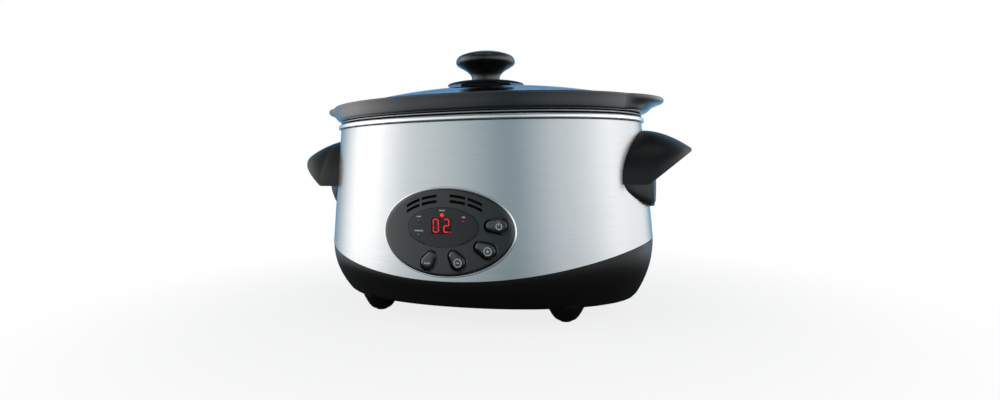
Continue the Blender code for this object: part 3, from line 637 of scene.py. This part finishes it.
def plate(name, layers):
    """Bridges flat outlines: each layer is (outline in x and z, height in front of the wall)."""
    return skin(name, [[(p[0], -high, p[1]) for p in spots] for spots, high in layers])


rings = [(PANEL_RX * s, PANEL_RZ * s, PROUD) for s in
         (0.03, 0.12, 0.24, 0.36, 0.48, 0.58, 0.67, 0.75, 0.82, 0.88, 0.93)]
rings += [(PANEL_RX * s, PANEL_RZ * s, h) for s, h in
          ((0.965, 3.02), (0.982, 2.8), (0.993, 2.4), (0.999, 1.8), (1.0, 1.2), (1.0, 0.3))]
rings += [(PANEL_RX * s, PANEL_RZ * s, h) for s, h in
          ((0.944, 0.3), (0.94, -0.9), (0.8, -0.9), (0.6, -0.9), (0.4, -0.9), (0.2, -0.9),
          (0.03, -0.9))]
fascia = stand_up(capped("panel_fascia", rings, 128), PANEL_X, PANEL_Z)
for big, small, big_radius, small_radius in BUTTONS.values():
    shape = (big, small, big_radius, small_radius)
    unite(fascia, plate("collar", [(teardrop(*shape, 1.9), 2.6), (teardrop(*shape, 1.9), 3.2),
                                   (teardrop(*shape, 1.65), 3.5), (teardrop(*shape, 1.3), 3.6),
                                   (teardrop(*shape, 0.9), 3.5)]))
    cut(fascia, plate("hole", [(teardrop(*shape, 0.5), -4.0), (teardrop(*shape, 0.5), 2.6),
                               (teardrop(*shape, 0.95), 3.4), (teardrop(*shape, 1.3), 6.0)]))
for drop in VENT_DROPS:
    for start, end in VENT_SPANS:
        line = []
        for k in range(8):
            x = start + (end - start) * k / 7
            share = (x - PANEL_X) / (PANEL_RX * VENT_SHARE)
            line.append((x, PANEL_Z + PANEL_RZ * VENT_SHARE * math.sqrt(1 - share * share) - drop))
        edge = [(x, z + VENT_HALF_HEIGHT) for x, z in line]
        edge += [(x, z - VENT_HALF_HEIGHT) for x, z in reversed(line)]
        cut(fascia, plate("slot", [(edge, -4.0), (edge, 8.0)]))


def oval_spots(x, z, rx, rz, power=2.0, count=96):
    spots = []
    for k in range(count):
        angle = 2 * math.pi * k / count
        c, s = math.cos(angle), math.sin(angle)
        spots.append((x + rx * math.copysign(abs(c) ** (2 / power), c),
                      z + rz * math.copysign(abs(s) ** (2 / power), s)))
    return spots


ix, iz, irx, irz = INLAY
cut(fascia, plate("sink", [(oval_spots(ix, iz, irx, irz), 2.2), (oval_spots(ix, iz, irx, irz), 2.9),
                           (oval_spots(ix, iz, irx + 0.5, irz + 0.5), 3.4),
                           (oval_spots(ix, iz, irx + 0.5, irz + 0.5), 8.0)]))
wx, wz, wrx, wrz = WINDOW
cut(fascia, plate("hole", [(oval_spots(wx, wz, wrx - 0.1, wrz - 0.1, 9.0, 48), -4.0),
                           (oval_spots(wx, wz, wrx - 0.1, wrz - 0.1, 9.0, 48), 8.0)]))
LEDS = []
for number in (1, 2, 3, 4):
    low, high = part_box(f"led_{number}")
    LEDS.append(((low.x + high.x) / 2 / MM, (low.z + high.z) / 2 / MM))
for x, z in LEDS:
    cut(fascia, plate("hole", [(oval_spots(x, z, 1.9, 1.9, 2.0, 24), -4.0),
                               (oval_spots(x, z, 1.9, 1.9, 2.0, 24), 8.0)]))
finish_piece(smooth(bend_to_wall(fascia), 30.0), panel_look, "housing", "panel_plastic", "panel_fascia")

# Inlay: a thin printed plate in the sunk oval, with holes for the window and the lamps.
inlay_look = new_look("printed_inlay", (0.012, 0.0125, 0.013), 0.3)
add_grain(inlay_look, (1500.0, 1500.0, 1500.0), (0.27, 0.36), bump=0.04,
          colour=((0.004, 0.0042, 0.0045), (0.007, 0.0072, 0.0075)), distance=0.00002)
rings = [(irx * s, irz * s, 2.35) for s in (0.03, 0.2, 0.4, 0.6, 0.8, 0.985)]
rings += [((irx - 0.3), (irz - 0.3), 2.45), ((irx - 0.3), (irz - 0.3), 2.8)]
rings += [(irx * s, irz * s, 2.9) for s in (0.975, 0.9, 0.8, 0.7, 0.6, 0.5, 0.4, 0.3, 0.2, 0.1, 0.03)]
inlay = stand_up(capped("panel_inlay", rings, 96), ix, iz)
cut(inlay, plate("hole", [(oval_spots(wx, wz, wrx + 0.2, wrz + 0.2, 9.0, 48), -4.0),
                          (oval_spots(wx, wz, wrx + 0.2, wrz + 0.2, 9.0, 48), 8.0)]))
for x, z in LEDS:
    cut(inlay, plate("hole", [(oval_spots(x, z, 1.7, 1.7, 2.0, 24), -4.0),
                              (oval_spots(x, z, 1.7, 1.7, 2.0, 24), 8.0)]))
finish_piece(smooth(bend_to_wall(inlay), 30.0), inlay_look, "housing", "inlay", "panel_inlay")

# Window: a smoked clear pane that fills the inlay's opening.
window_look = new_look("smoked_pane", (0.004, 0.003, 0.003), 0.06, Alpha=0.22)
add_grain(window_look, (300.0, 300.0, 300.0), (0.04, 0.09))
pane = plate("display_window", [(oval_spots(wx, wz, wrx * s, wrz * s, 9.0, 48), h) for s, h in
                                ((0.5, 2.35), (0.985, 2.35), (0.985, 2.75), (0.965, 2.9), (0.5, 2.9))])
finish_piece(smooth(bend_to_wall(pane)), window_look, "housing", "display_window", "display_window")

# Digits: a red two-digit module on the display board, its face just behind the window.
module_look = new_look("display_module", (0.003, 0.003, 0.003), 0.4)
add_grain(module_look, (800.0, 800.0, 800.0), (0.35, 0.5))
face_y = wall_y(wx, wz) + 1.3
module = skin("digit_display", [
    [(wx + sx * w, -y, wz + sz * h) for sx, sz in ((-1, -1), (1, -1), (1, 1), (-1, 1))]
    for w, h, y in ((9.5, 6.6, 104.3), (9.5, 6.6, 115.6), (8.6, 6.5, 115.8), (8.6, 6.5, face_y))])
apply_step(module, "BEVEL", width=0.0003, segments=2, limit_method="ANGLE")
finish_piece(smooth(module), module_look, "housing", "component", "digit_display")
lit_red = new_look("lit_segment", (0.9, 0.02, 0.02), 0.4, Emission_Color=(1.0, 0.012, 0.015, 1.0),
                   Emission_Strength=0.98)
add_grain(lit_red, (600.0, 600.0, 600.0), (0.35, 0.5))
unlit_red = new_look("unlit_segment", (0.022, 0.002, 0.002), 0.4)
add_grain(unlit_red, (600.0, 600.0, 600.0), (0.35, 0.5))
DIGIT_W = 5.7
DIGIT_H = 12.0
BAR = 1.15
SEGMENTS = {"top": (0, 1, 0), "middle": (0, 0, 0), "bottom": (0, -1, 0), "top_left": (-1, 0.5, 1),
            "top_right": (1, 0.5, 1), "bottom_left": (-1, -0.5, 1), "bottom_right": (1, -0.5, 1)}
DIGITS = ((-5.6, {"top", "top_left", "top_right", "bottom_left", "bottom_right", "bottom"}),
          (4.2, {"top", "top_right", "middle", "bottom_left", "bottom"}))


def bar_outline(x, z, half, thick, upright):
    """A bar with pointed ends, as on a seven-segment digit."""
    spots = [(-half, 0), (-half + thick, -thick), (half - thick, -thick), (half, 0),
             (half - thick, thick), (-half + thick, thick)]
    return [(x + (q if upright else p), z + (p if upright else q)) for p, q in spots]


lit_bars = []
unlit_bars = []
for shift, lit in DIGITS:
    for name, (side, row, upright) in SEGMENTS.items():
        x = shift + side * (DIGIT_W - BAR) / 2
        z = row * (DIGIT_H - BAR) / 2
        half = ((DIGIT_H - BAR) / 4 if upright else (DIGIT_W - BAR) / 2) - 0.12 + BAR * 0.12
        spots = [(wx + p, wz + q) for p, q in bar_outline(x, z, half, BAR / 2, upright)]
        bar = plate("bar", [(spots, face_y + 0.02), (spots, face_y + 0.22)])
        (lit_bars if name in lit else unlit_bars).append(bar)
dot = plate("dot", [(oval_spots(wx + 8.0, wz - 5.6, 0.6, 0.6, 2.0, 16), face_y + 0.02),
                    (oval_spots(wx + 8.0, wz - 5.6, 0.6, 0.6, 2.0, 16), face_y + 0.22)])
lit_bars.append(dot)


def join(pieces, name):
    make_active(pieces[0])
    for piece in pieces:
        piece.select_set(True)
    bpy.ops.object.join()
    bpy.context.object.name = name
    return bpy.context.object


finish_piece(join(lit_bars, "digits_lit"), lit_red, "housing", "led_lit")
finish_piece(join(unlit_bars, "digits_unlit"), unlit_red, "housing", "led_dark")

# Lamps: round-nosed, one lit and three dark. Printed marks above them stand for labels.
dark_lamp = new_look("dark_lamp", (0.16, 0.006, 0.006), 0.22, Coat_Weight=0.5, Coat_Roughness=0.1)
add_grain(dark_lamp, (500.0, 500.0, 500.0), (0.18, 0.3))
print_white = new_look("printed_white", (0.62, 0.64, 0.65), 0.5)
add_grain(print_white, (900.0, 900.0, 900.0), (0.45, 0.6))
for number, (x, z) in enumerate(LEDS, 1):
    back = -(wall_y(x, z) - 104.3)
    lamp = plate(f"led_{number}", [(oval_spots(x, z, r, r, 2.0, 32), h) for r, h in
                                   ((1.45, back), (1.5, 2.7), (1.4, 2.95), (1.1, 3.12), (0.6, 3.2))])
    look = lit_red if number == 1 else dark_lamp
    slot = "led_lit" if number == 1 else "led_dark"
    finish_piece(smooth(bend_to_wall(lamp), 50.0), look, "housing", slot, f"led_{number}")
# Each mark: which lamp it stands over, how far above it, and how many short bars it has.
MARKS = ((0, 4.0, 5), (1, 3.4, 4), (2, 3.6, 8), (3, 3.6, 3))
marks = []
for index, rise, count in MARKS:
    x, z = LEDS[index]
    for k in range(count):
        middle = x + (k - (count - 1) / 2) * 1.05
        spots = [(middle + 0.36 * across, z + rise + 0.55 * along)
                 for across, along in ((-1, -1), (1, -1), (1, 1), (-1, 1))]
        marks.append(plate("mark", [(spots, 2.88), (spots, 2.95)]))
finish_piece(bend_to_wall(join(marks, "printed_marks")), print_white, "housing", "inlay")

# ---------------------------------------------------------------------------------------------
# Buttons: glossy teardrop caps, domed, each with a flange behind the panel and a stem.
# Their signs are printed in white: plus and minus in a ring, a power sign and a row of dots.
# ---------------------------------------------------------------------------------------------
button_look = new_look("gloss_button", (0.016, 0.0165, 0.0175), 0.1, Coat_Weight=0.8,
                       Coat_Roughness=0.06)
add_grain(button_look, (500.0, 500.0, 500.0), (0.09, 0.14), bump=0.02,
          colour=((0.006, 0.006, 0.0065), (0.009, 0.0092, 0.0096)), distance=0.00002)


def dome_height(offset, reach):
    """Height of a cap's face above its edge, by how far inside its outline a point is."""
    share = min(max(-offset / reach, 0.0), 1.0)
    return 1.7 * math.sqrt(1 - (1 - share) ** 2)


def ring_sign(x, z, radius, thick, gap=0.03, count=40):
    """A ring, or an open ring with a gap at its top."""
    start = math.pi / 2 + gap
    spots = []
    for r, order in ((radius + thick, 1), (radius - thick, -1)):
        turns = [start + (2 * math.pi - 2 * gap) * k / count for k in range(count + 1)]
        line = [(x + r * math.cos(angle), z + r * math.sin(angle)) for angle in turns]
        spots += line[::order]
    return spots


def box_sign(x, z, half_x, half_z):
    corners = ((-1, -1), (1, -1), (1, 1), (-1, 1))
    return [(x + half_x * across, z + half_z * along) for across, along in corners]


for name, (big, small, big_radius, small_radius) in BUTTONS.items():
    shape = (big, small, big_radius, small_radius)
    low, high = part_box(name)
    x, z = (big[0] + small[0]) / 2, (big[1] + small[1]) / 2
    face = wall_y(x, z) + PROUD - 0.1
    cap_layers = [(teardrop(*shape, 0.0), face - 3.9), (teardrop(*shape, 0.0), face - 0.2)]
    for offset in (-0.12, -0.4, -0.9, -1.5, -2.2, -3.0, -3.8):
        cap_layers.append((teardrop(*shape, offset), face - 0.2 + dome_height(offset, 4.4) * 0.8))
    cap = skin(name, [[(p[0], -h, p[1]) for p in spots] for spots, h in cap_layers])
    flange_y = face - 3.9
    stem_end = -high.y / MM
    stem = skin("stem", [[(p[0], -h, p[1]) for p in oval_spots(x, z, 2.2, 2.2, 2.0, 24)]
                         for h in (stem_end, flange_y + 0.6)])
    flange = skin("flange", [[(p[0], -h, p[1]) for p in teardrop(*shape, 0.7)]
                             for h in (flange_y - 0.1, flange_y + 0.2)])
    unite(cap, flange, stem)
    finish_piece(smooth(cap, 42.0), button_look, name, "button_plastic", name)
    signs = []
    sx, sz = big
    if name in ("button_plus", "button_minus"):
        signs.append(ring_sign(sx, sz, 3.3, 0.32))
        signs.append(box_sign(sx, sz, 1.5, 0.32))
    if name == "button_plus":
        signs.append(box_sign(sx, sz + 0.9, 0.32, 0.58))
        signs.append(box_sign(sx, sz - 0.9, 0.32, 0.58))
    if name == "button_power":
        signs.append(ring_sign(sx - 0.6, sz - 0.2, 2.5, 0.34, gap=0.6))
        signs.append(box_sign(sx - 0.6, sz + 1.9, 0.34, 1.5))
    if name == "button_mode":
        signs += [box_sign(sx + k * 1.9, sz - 0.2, 0.6, 0.6) for k in (-1, 0, 1)]
    prints = []
    for spots in signs:
        heights = []
        rings = []
        for lift in (0.0, 0.13):
            ring = []
            for px, pz in spots:
                near = min((Vector((px, pz)) - Vector(big)).length - big_radius,
                           (Vector((px, pz)) - Vector(small)).length - small_radius)
                ring.append((px, -(face - 0.2 + dome_height(near, 4.4) * 0.8 + lift), pz))
            rings.append(ring)
        prints.append(skin("sign", rings))
    finish_piece(join(prints, name.replace("button", "sign")), print_white, name, "button_plastic")

# ---------------------------------------------------------------------------------------------
# Crock: stoneware under a black glaze. Its rim is a deep band that leans out, with a ledge for
# the lid, and at each end the band runs out into a wide tab with a rounded lip.
# ---------------------------------------------------------------------------------------------
glaze = new_look("black_glaze", (0.013, 0.014, 0.015), 0.16, Coat_Weight=0.9, Coat_Roughness=0.08)
add_grain(glaze, (140.0, 140.0, 140.0), (0.13, 0.22), bump=0.07,
          colour=((0.006, 0.0065, 0.007), (0.010, 0.0105, 0.011)), distance=0.0001)
TAB_REACH = 176.7
TAB_HALF_WIDTH = 55.0
body_path = rounded([(60.0, 55.0), (40.0, 55.0, 3.0), (33.5, 58.0, 6.0), (29.0, 70.0, 8.0),
                     (26.0, 88.0, 10.0), (19.0, 130.0, 10.0), (12.0, 180.0), (11.2, 186.5, 2.0),
                     (10.6, 188.1, 0)], 2.0)
well_path = rounded([(12.4, 190.0, 2.0), (19.0, 178.0), (26.0, 130.0, 10.0), (33.0, 88.0, 10.0),
                     (37.0, 72.0, 8.0), (44.0, 64.0, 6.0), (59.0, 62.0, 4.0), (80.0, 62.0)], 3.0)
# Band and tab sections, point by point: (half length of the band, height), (reach of the tab,
# height). The band's longest point is at BAND_LENGTH.
BAND_LENGTH = 162.7
BAND = [((155.6, 188.1), (156.4, 188.6)), ((157.2, 188.7), (159.0, 189.6)),
        ((158.4, 189.9), (161.4, 190.6)), ((159.0, 191.2), (163.4, 192.2)),
        ((159.5, 192.6), (165.4, 194.2)), ((160.2, 194.8), (168.4, 195.8)),
        ((160.9, 197.2), (172.0, 196.9)), ((161.4, 198.9), (174.6, 197.6)),
        ((161.9, 200.3), (176.1, 198.6)), ((162.3, 201.5), (176.7, 200.1)),
        ((162.6, 202.2), (176.4, 201.5)), ((162.3, 202.8), (175.4, 202.4)),
        ((161.6, 203.1), (173.6, 202.8)), ((160.4, 203.1), (169.5, 202.8)),
        ((158.6, 203.1), (163.0, 202.9)), ((156.4, 203.1), (157.4, 203.1))]
ledge = [(153.9, 108.3, 203.1), (153.2, 107.6, 202.8), (152.8, 107.2, 202.1), (152.7, 107.1, 200.2),
         (152.5, 106.9, 198.7), (151.9, 106.3, 198.2), (149.0, 103.5, 198.2), (146.6, 101.1, 198.1),
         (145.2, 99.8, 196.8)]
band_rings = [(a, RATIO * a, z) for (a, z), tab in BAND]
crock_rings = ([(2.0, 1.2, 55.0)] + wall_rings(between(body_path, 9.0)) + band_rings + ledge
               + wall_rings(between(well_path, 9.0)) + [(2.0, 1.2, 62.0)])
CROCK_SEGMENTS = 288
crock = grow("crock", crock_rings, CROCK_SEGMENTS)
first = 1 + len(between(body_path, 9.0))
for k, ((band_a, band_z), (tab_a, tab_z)) in enumerate(BAND):
    row = first + k
    for index in range(row * CROCK_SEGMENTS, (row + 1) * CROCK_SEGMENTS):
        spot = crock.data.vertices[index].co
        y = abs(spot.y / MM)
        if y >= TAB_HALF_WIDTH:
            continue
        full = BAND_LENGTH * (1 - (y / (RATIO * BAND_LENGTH)) ** POWER) ** (1 / POWER)
        tab_edge = 155.5 * math.sqrt(1 - (y / 109.5) ** 2) + 0.6
        tab_edge += (TAB_REACH - 156.1) * (1 - (y / TAB_HALF_WIDTH) ** 2.5) ** 0.4
        share = max(0.0, tab_edge - full) / (TAB_REACH - BAND_LENGTH)
        reach = min(spot.x / MM * math.copysign(1, spot.x) + share * (tab_a - band_a), TAB_REACH)
        spot.x = math.copysign(reach * MM, spot.x)
        spot.z += min(share, 1.0) * (tab_z - band_z) * MM
close_up(crock, CROCK_SEGMENTS)
finish_piece(smooth(crock, 60.0), glaze, "crock", "crock_glaze", "crock")

# ---------------------------------------------------------------------------------------------
# Lid: domed tempered glass with a ground, rounded edge and a hole for the knob's screw.
# ---------------------------------------------------------------------------------------------
glass = new_look("clear_glass", (0.80, 0.90, 0.97), 0.0, Transmission_Weight=1.0, IOR=1.5)
add_grain(glass, (60.0, 60.0, 60.0), (0.0, 0.02))
tree = glass.node_tree
clear = add_node(tree, "BsdfTransparent", Color=(0.86, 0.93, 0.98, 1.0))
rays = add_node(tree, "LightPath")
choice = add_node(tree, "MixShader")
tree.links.new(rays.outputs["Is Shadow Ray"], choice.inputs["Fac"])
tree.links.new(tree.nodes["Principled BSDF"].outputs["BSDF"], choice.inputs[1])
tree.links.new(clear.outputs["BSDF"], choice.inputs[2])
tree.links.new(choice.outputs["Shader"], tree.nodes["Material Output"].inputs["Surface"])
DOME_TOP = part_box("lid_glass")[1].z / MM
DOME_EDGE = 203.0
GLASS = 4.0
BORE = 4.0


def dome(share, drop):
    rise = DOME_EDGE + (DOME_TOP - DOME_EDGE) * (1 - share * share) - drop
    return (150.0 * share, 105.0 * share, rise)


shares = [0.045, 0.07] + [0.1 + 0.05 * k for k in range(18)] + [0.97]
lid_rings = [dome(s, 0.0) for s in shares]
lid_rings += [(147.6, 102.4, 203.4), (150.2, 104.8, 202.6), (151.5, 106.0, 201.8),
              (152.0, 106.5, 200.8), (151.7, 106.2, 199.6), (150.9, 105.5, 198.8),
              (149.4, 104.2, 198.5), (147.2, 102.2, 198.7)]
lid_rings += [dome(s, GLASS) for s in reversed(shares[:-1])]
lid = looped("lid_glass", lid_rings, 192)
for vertex in lid.data.vertices:
    across = math.hypot(vertex.co.x, vertex.co.y) / MM
    if across < 7.2:
        scale = BORE / across
        vertex.co.x *= scale
        vertex.co.y *= scale
finish_piece(smooth(lid, 60.0), glass, "lid", "lid_glass", "lid_glass")

# ---------------------------------------------------------------------------------------------
# Knob: a polished black mushroom on a flange disc, held by one screw from below, with a gasket
# over the glass and a steel washer under it.
# ---------------------------------------------------------------------------------------------
knob_look = new_look("polished_black", (0.009, 0.0085, 0.0085), 0.12, Coat_Weight=0.5,
                     Coat_Roughness=0.08)
add_grain(knob_look, (700.0, 700.0, 700.0), (0.11, 0.17), bump=0.02,
          colour=((0.004, 0.004, 0.004), (0.006, 0.006, 0.006)), distance=0.00002)
knob_low, knob_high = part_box("knob")
KNOB_FOOT = knob_low.z / MM
KNOB_TOP = knob_high.z / MM
knob_section = [(2.9, 246.0, 0), (2.9, KNOB_FOOT, 0), (14.3, KNOB_FOOT, 0.5), (14.3, 231.5, 3.0),
                (15.4, 235.0, 2.0), (19.6, 239.2, 3.0), (25.6, 242.6, 3.5), (31.2, 246.3, 5.0),
                (29.2, 253.0, 6.0), (20.0, 256.7, 7.0), (8.0, 259.0, 6.0), (0.6, KNOB_TOP)]
knob = turned("knob", [(0.6, 246.0)] + rounded(knob_section, 1.0, steps=8), segments=128)
finish_piece(smooth(knob, 40.0), knob_look, "lid", "knob_plastic", "knob")
skirt_low, skirt_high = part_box("knob_skirt")
sl, sh = skirt_low.z / MM, skirt_high.z / MM
skirt_section = [(3.2, sl, 0), (36.5, sl, 1.0), (39.4, sl + 0.5, 0.5), (39.3, sl + 1.2, 0.6),
                 (36.0, sl + 2.2, 2.0), (20.0, sl + 3.5, 2.0), (15.2, sh - 0.1, 0.6), (3.2, sh, 0)]
skirt = turned("knob_skirt", rounded(skirt_section, 0.5, closed=True), segments=128, bored=True)
finish_piece(smooth(skirt, 40.0), knob_look, "lid", "knob_plastic", "knob_skirt")
seal_low, seal_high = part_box("knob_seal")
zl, zh = seal_low.z / MM, seal_high.z / MM
seal = turned("knob_seal", rounded([(3.2, zl, 0), (26.0, zl, 0.4), (26.0, zh, 0.4), (3.2, zh, 0)], 0.4,
                                   closed=True), segments=96, bored=True)
finish_piece(smooth(seal, 40.0), rubber, "lid", "rubber", "knob_seal")
fixing = new_look("plated_steel", (0.56, 0.56, 0.57), 0.3, 1.0)
add_grain(fixing, (900.0, 900.0, 250.0), (0.24, 0.4), bump=0.05)
washer_low, washer_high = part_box("knob_washer")
zl, zh = washer_low.z / MM, washer_high.z / MM
washer_section = [(3.2, zl, 0.2), (13.0, zl, 0.4), (13.0, zh, 0.4), (3.2, zh, 0.2)]
washer = turned("knob_washer", rounded(washer_section, 0.3, closed=True), segments=72, bored=True)
finish_piece(smooth(washer, 40.0), fixing, "lid", "fixing", "knob_washer")

# ---------------------------------------------------------------------------------------------
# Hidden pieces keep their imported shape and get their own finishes.
# ---------------------------------------------------------------------------------------------
mica = add_grain(new_look("mica_band", (0.33, 0.27, 0.19), 0.5), (90.0, 90.0, 30.0), (0.4, 0.65),
                 0.2, ((0.26, 0.21, 0.15), (0.42, 0.35, 0.25)), distance=0.0003)
fibre = add_grain(new_look("dark_fibre", (0.05, 0.045, 0.04), 0.95), (250.0,) * 3, (0.9, 1.0),
                  0.6, ((0.035, 0.03, 0.027), (0.07, 0.062, 0.055)), distance=0.0008)
zinc = add_grain(new_look("zinc_sheet", (0.58, 0.59, 0.6), 0.38, 1.0), (70.0,) * 3, (0.3, 0.5), 0.1)
board = add_grain(new_look("board_green", (0.04, 0.2, 0.08), 0.4), (400.0,) * 3, (0.35, 0.5),
                  0.1, ((0.03, 0.16, 0.06), (0.06, 0.24, 0.1)))
tape = add_grain(new_look("coil_tape", (0.62, 0.44, 0.1), 0.4), (50.0, 50.0, 900.0), (0.35, 0.5),
                 0.2, ((0.52, 0.36, 0.07), (0.7, 0.52, 0.16)))
case = add_grain(new_look("component_case", (0.03, 0.03, 0.034), 0.5), (600.0,) * 3, (0.45, 0.6), 0.1)
sensor_case = add_grain(new_look("sensor_case", (0.66, 0.66, 0.64), 0.35, 1.0), (300.0,) * 3,
                        (0.3, 0.45), 0.05)
HIDDEN = {"heater_band": mica, "insulation_wrap": fibre, "heat_shield": zinc,
          "thermal_fuse": sensor_case, "temperature_sensor": sensor_case, "power_board": board,
          "display_board": board, "transformer": tape, "relay": case, "tie_bolt": fixing,
          "tie_nut": fixing, "knob_screw": fixing}
for number in (1, 2, 3, 4):
    HIDDEN[f"base_screw_{number}"] = fixing
    HIDDEN[f"handle_screw_{number}"] = fixing
    HIDDEN[f"tact_switch_{number}"] = case
for name, look in HIDDEN.items():
    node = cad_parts[name]
    node.data.materials.clear()
    node.data.materials.append(look)

# ---------------------------------------------------------------------------------------------
# Studio: a pale floor, one softbox above, and a room whose light changes round the compass:
# bright at both sides, dimmer in front, and blue behind, which shows through the glass lid.
# Other rays than the camera's see a dark floor close in, and the room's own light beyond it.
# ---------------------------------------------------------------------------------------------
deselect()
bpy.ops.mesh.primitive_circle_add(vertices=128, radius=0.9, fill_type="NGON", location=(0, 0, -0.0002))
floor = bpy.context.object
floor.name = "floor"
floor_look = bpy.data.materials.new("pale_floor")
floor_look.use_nodes = True
tree = floor_look.node_tree
links = tree.links
tree.nodes.remove(tree.nodes["Principled BSDF"])
card = add_node(tree, "BsdfDiffuse", Color=(0.9, 0.9, 0.9, 1.0))
shine = add_node(tree, "Emission")
dark = add_node(tree, "BsdfDiffuse", Color=(0.12, 0.12, 0.12, 1.0))
clear = add_node(tree, "BsdfTransparent")
place = add_node(tree, "TexCoord")
away = add_node(tree, "VectorMath")
away.operation = "LENGTH"
edge = add_node(tree, "MapRange", From_Min=0.24, From_Max=0.4)
fade = add_node(tree, "MapRange", From_Min=0.15, From_Max=0.5, To_Min=0.82, To_Max=1.0)
fade.interpolation_type = "SMOOTHSTEP"
under = add_node(tree, "MixShader")
pale = add_node(tree, "MixShader")
choice = add_node(tree, "MixShader")
rays = add_node(tree, "LightPath")
links.new(place.outputs["Object"], away.inputs[0])
links.new(away.outputs["Value"], fade.inputs["Value"])
links.new(away.outputs["Value"], edge.inputs["Value"])
links.new(edge.outputs["Result"], under.inputs["Fac"])
links.new(dark.outputs["BSDF"], under.inputs[1])
links.new(clear.outputs["BSDF"], under.inputs[2])
links.new(fade.outputs["Result"], pale.inputs["Fac"])
links.new(card.outputs["BSDF"], pale.inputs[1])
links.new(shine.outputs["Emission"], pale.inputs[2])
links.new(rays.outputs["Is Camera Ray"], choice.inputs["Fac"])
links.new(under.outputs["Shader"], choice.inputs[1])
links.new(pale.outputs["Shader"], choice.inputs[2])
links.new(choice.outputs["Shader"], tree.nodes["Material Output"].inputs["Surface"])
floor.data.materials.append(floor_look)

SOFTBOX = (0.9, 0.6)
lamp = bpy.data.lights.new("top_softbox", "AREA")
lamp.shape = "RECTANGLE"
lamp.size, lamp.size_y = SOFTBOX
lamp.energy = 0.5 * math.pi * SOFTBOX[0] * SOFTBOX[1]
holder = bpy.data.objects.new("top_softbox", lamp)
bpy.context.scene.collection.objects.link(holder)
tilt = math.radians(82.0)
target = Vector((0, 0, 0.12))
spot = target + 1.3 * Vector((0.0, -math.cos(tilt), math.sin(tilt)))
holder.location = spot
holder.rotation_euler = (target - spot).to_track_quat("-Z", "Y").to_euler()
holder.visible_camera = False

# The room's light, by compass direction in degrees: 0 is in front and 90 is to the right.
ROOM = ((-180, 0.2, 0.37, 0.57), (-155, 0.16, 0.34, 0.57), (-136, 0.05, 0.26, 0.54),
        (-128, 0.2, 0.36, 0.5), (-118, 0.38, 0.47, 0.52), (-108, 0.68, 0.74, 0.78),
        (-98, 1.05, 1.1, 1.14), (-86, 1.55, 1.55, 1.55), (-66, 1.55, 1.55, 1.55),
        (-60, 1.33, 1.35, 1.37), (-54, 1.14, 1.18, 1.2), (-47, 0.92, 0.98, 1.0),
        (-40, 0.77, 0.85, 0.88), (-28, 0.72, 0.8, 0.83), (-20, 0.61, 0.7, 0.72),
        (-10, 0.5, 0.58, 0.62), (-3, 0.42, 0.51, 0.55), (7, 0.31, 0.4, 0.44),
        (14, 0.31, 0.4, 0.44), (24, 0.46, 0.55, 0.6), (32, 0.6, 0.68, 0.71),
        (38, 0.7, 0.78, 0.81), (50, 0.79, 0.86, 0.89), (62, 0.9, 0.95, 0.98),
        (75, 1.08, 1.13, 1.16), (90, 1.28, 1.3, 1.33), (108, 1.2, 1.22, 1.25),
        (140, 1.0, 1.05, 1.08), (152, 0.6, 0.7, 0.75), (160, 0.2, 0.37, 0.57),
        (180, 0.2, 0.37, 0.57))
world = bpy.data.worlds.new("studio")
bpy.context.scene.world = world
world.use_nodes = True
tree = world.node_tree
links = tree.links
place = add_node(tree, "TexCoord")
parts = add_node(tree, "SeparateXYZ")
links.new(place.outputs["Generated"], parts.inputs["Vector"])
front = add_node(tree, "Math")
front.operation = "MULTIPLY"
front.inputs[1].default_value = -1.0
links.new(parts.outputs["Y"], front.inputs[0])
compass = add_node(tree, "Math")
compass.operation = "ARCTAN2"
links.new(parts.outputs["X"], compass.inputs[0])
links.new(front.outputs["Value"], compass.inputs[1])
share = add_node(tree, "MapRange", From_Min=-math.pi, From_Max=math.pi)
links.new(compass.outputs["Value"], share.inputs["Value"])
round_about = add_node(tree, "ValToRGB")
links.new(share.outputs["Result"], round_about.inputs["Fac"])


def fill_ramp(ramp, levels):
    """Sets a ramp's stops from (place, colour); the first and last stops are there already."""
    stops = ramp.color_ramp.elements
    for index, (place_at, colour) in enumerate(levels):
        if index in (0, len(levels) - 1):
            stop = stops[min(index, len(stops) - 1)]
        else:
            stop = stops.new(place_at)
        stop.position = place_at
        stop.color = (*colour, 1.0)


fill_ramp(round_about, [((angle + 180) / 360, colour) for angle, *colour in ROOM])
upward = add_node(tree, "ValToRGB")
height = add_node(tree, "MapRange", From_Min=-1.0)
links.new(parts.outputs["Z"], height.inputs["Value"])
links.new(height.outputs["Result"], upward.inputs["Fac"])
# How strong that light is by height, from straight down at 0 through the horizon at 0.5 to 1.
HEIGHTS = ((0.0, 0.05), (0.18, 0.1), (0.27, 0.42), (0.42, 0.9), (0.46, 1.0), (0.74, 1.0),
           (0.84, 0.32), (0.94, 0.14), (1.0, 0.14))
fill_ramp(upward, [(place_at, (level,) * 3) for place_at, level in HEIGHTS])
scaled = add_node(tree, "Mix")
scaled.data_type = "RGBA"
scaled.blend_type = "MULTIPLY"
scaled.inputs[0].default_value = 1.0
links.new(round_about.outputs["Color"], scaled.inputs[6])
links.new(upward.outputs["Color"], scaled.inputs[7])
air = tree.nodes["Background"]
air.inputs["Strength"].default_value = 1.18
links.new(scaled.outputs[2], air.inputs["Color"])
white = add_node(tree, "Background", Color=(1.0, 1.0, 1.0, 1.0))
rays = add_node(tree, "LightPath")
choice = add_node(tree, "MixShader")
links.new(rays.outputs["Is Camera Ray"], choice.inputs["Fac"])
links.new(air.outputs["Background"], choice.inputs[1])
links.new(white.outputs["Background"], choice.inputs[2])
links.new(choice.outputs["Shader"], tree.nodes["World Output"].inputs["Surface"])
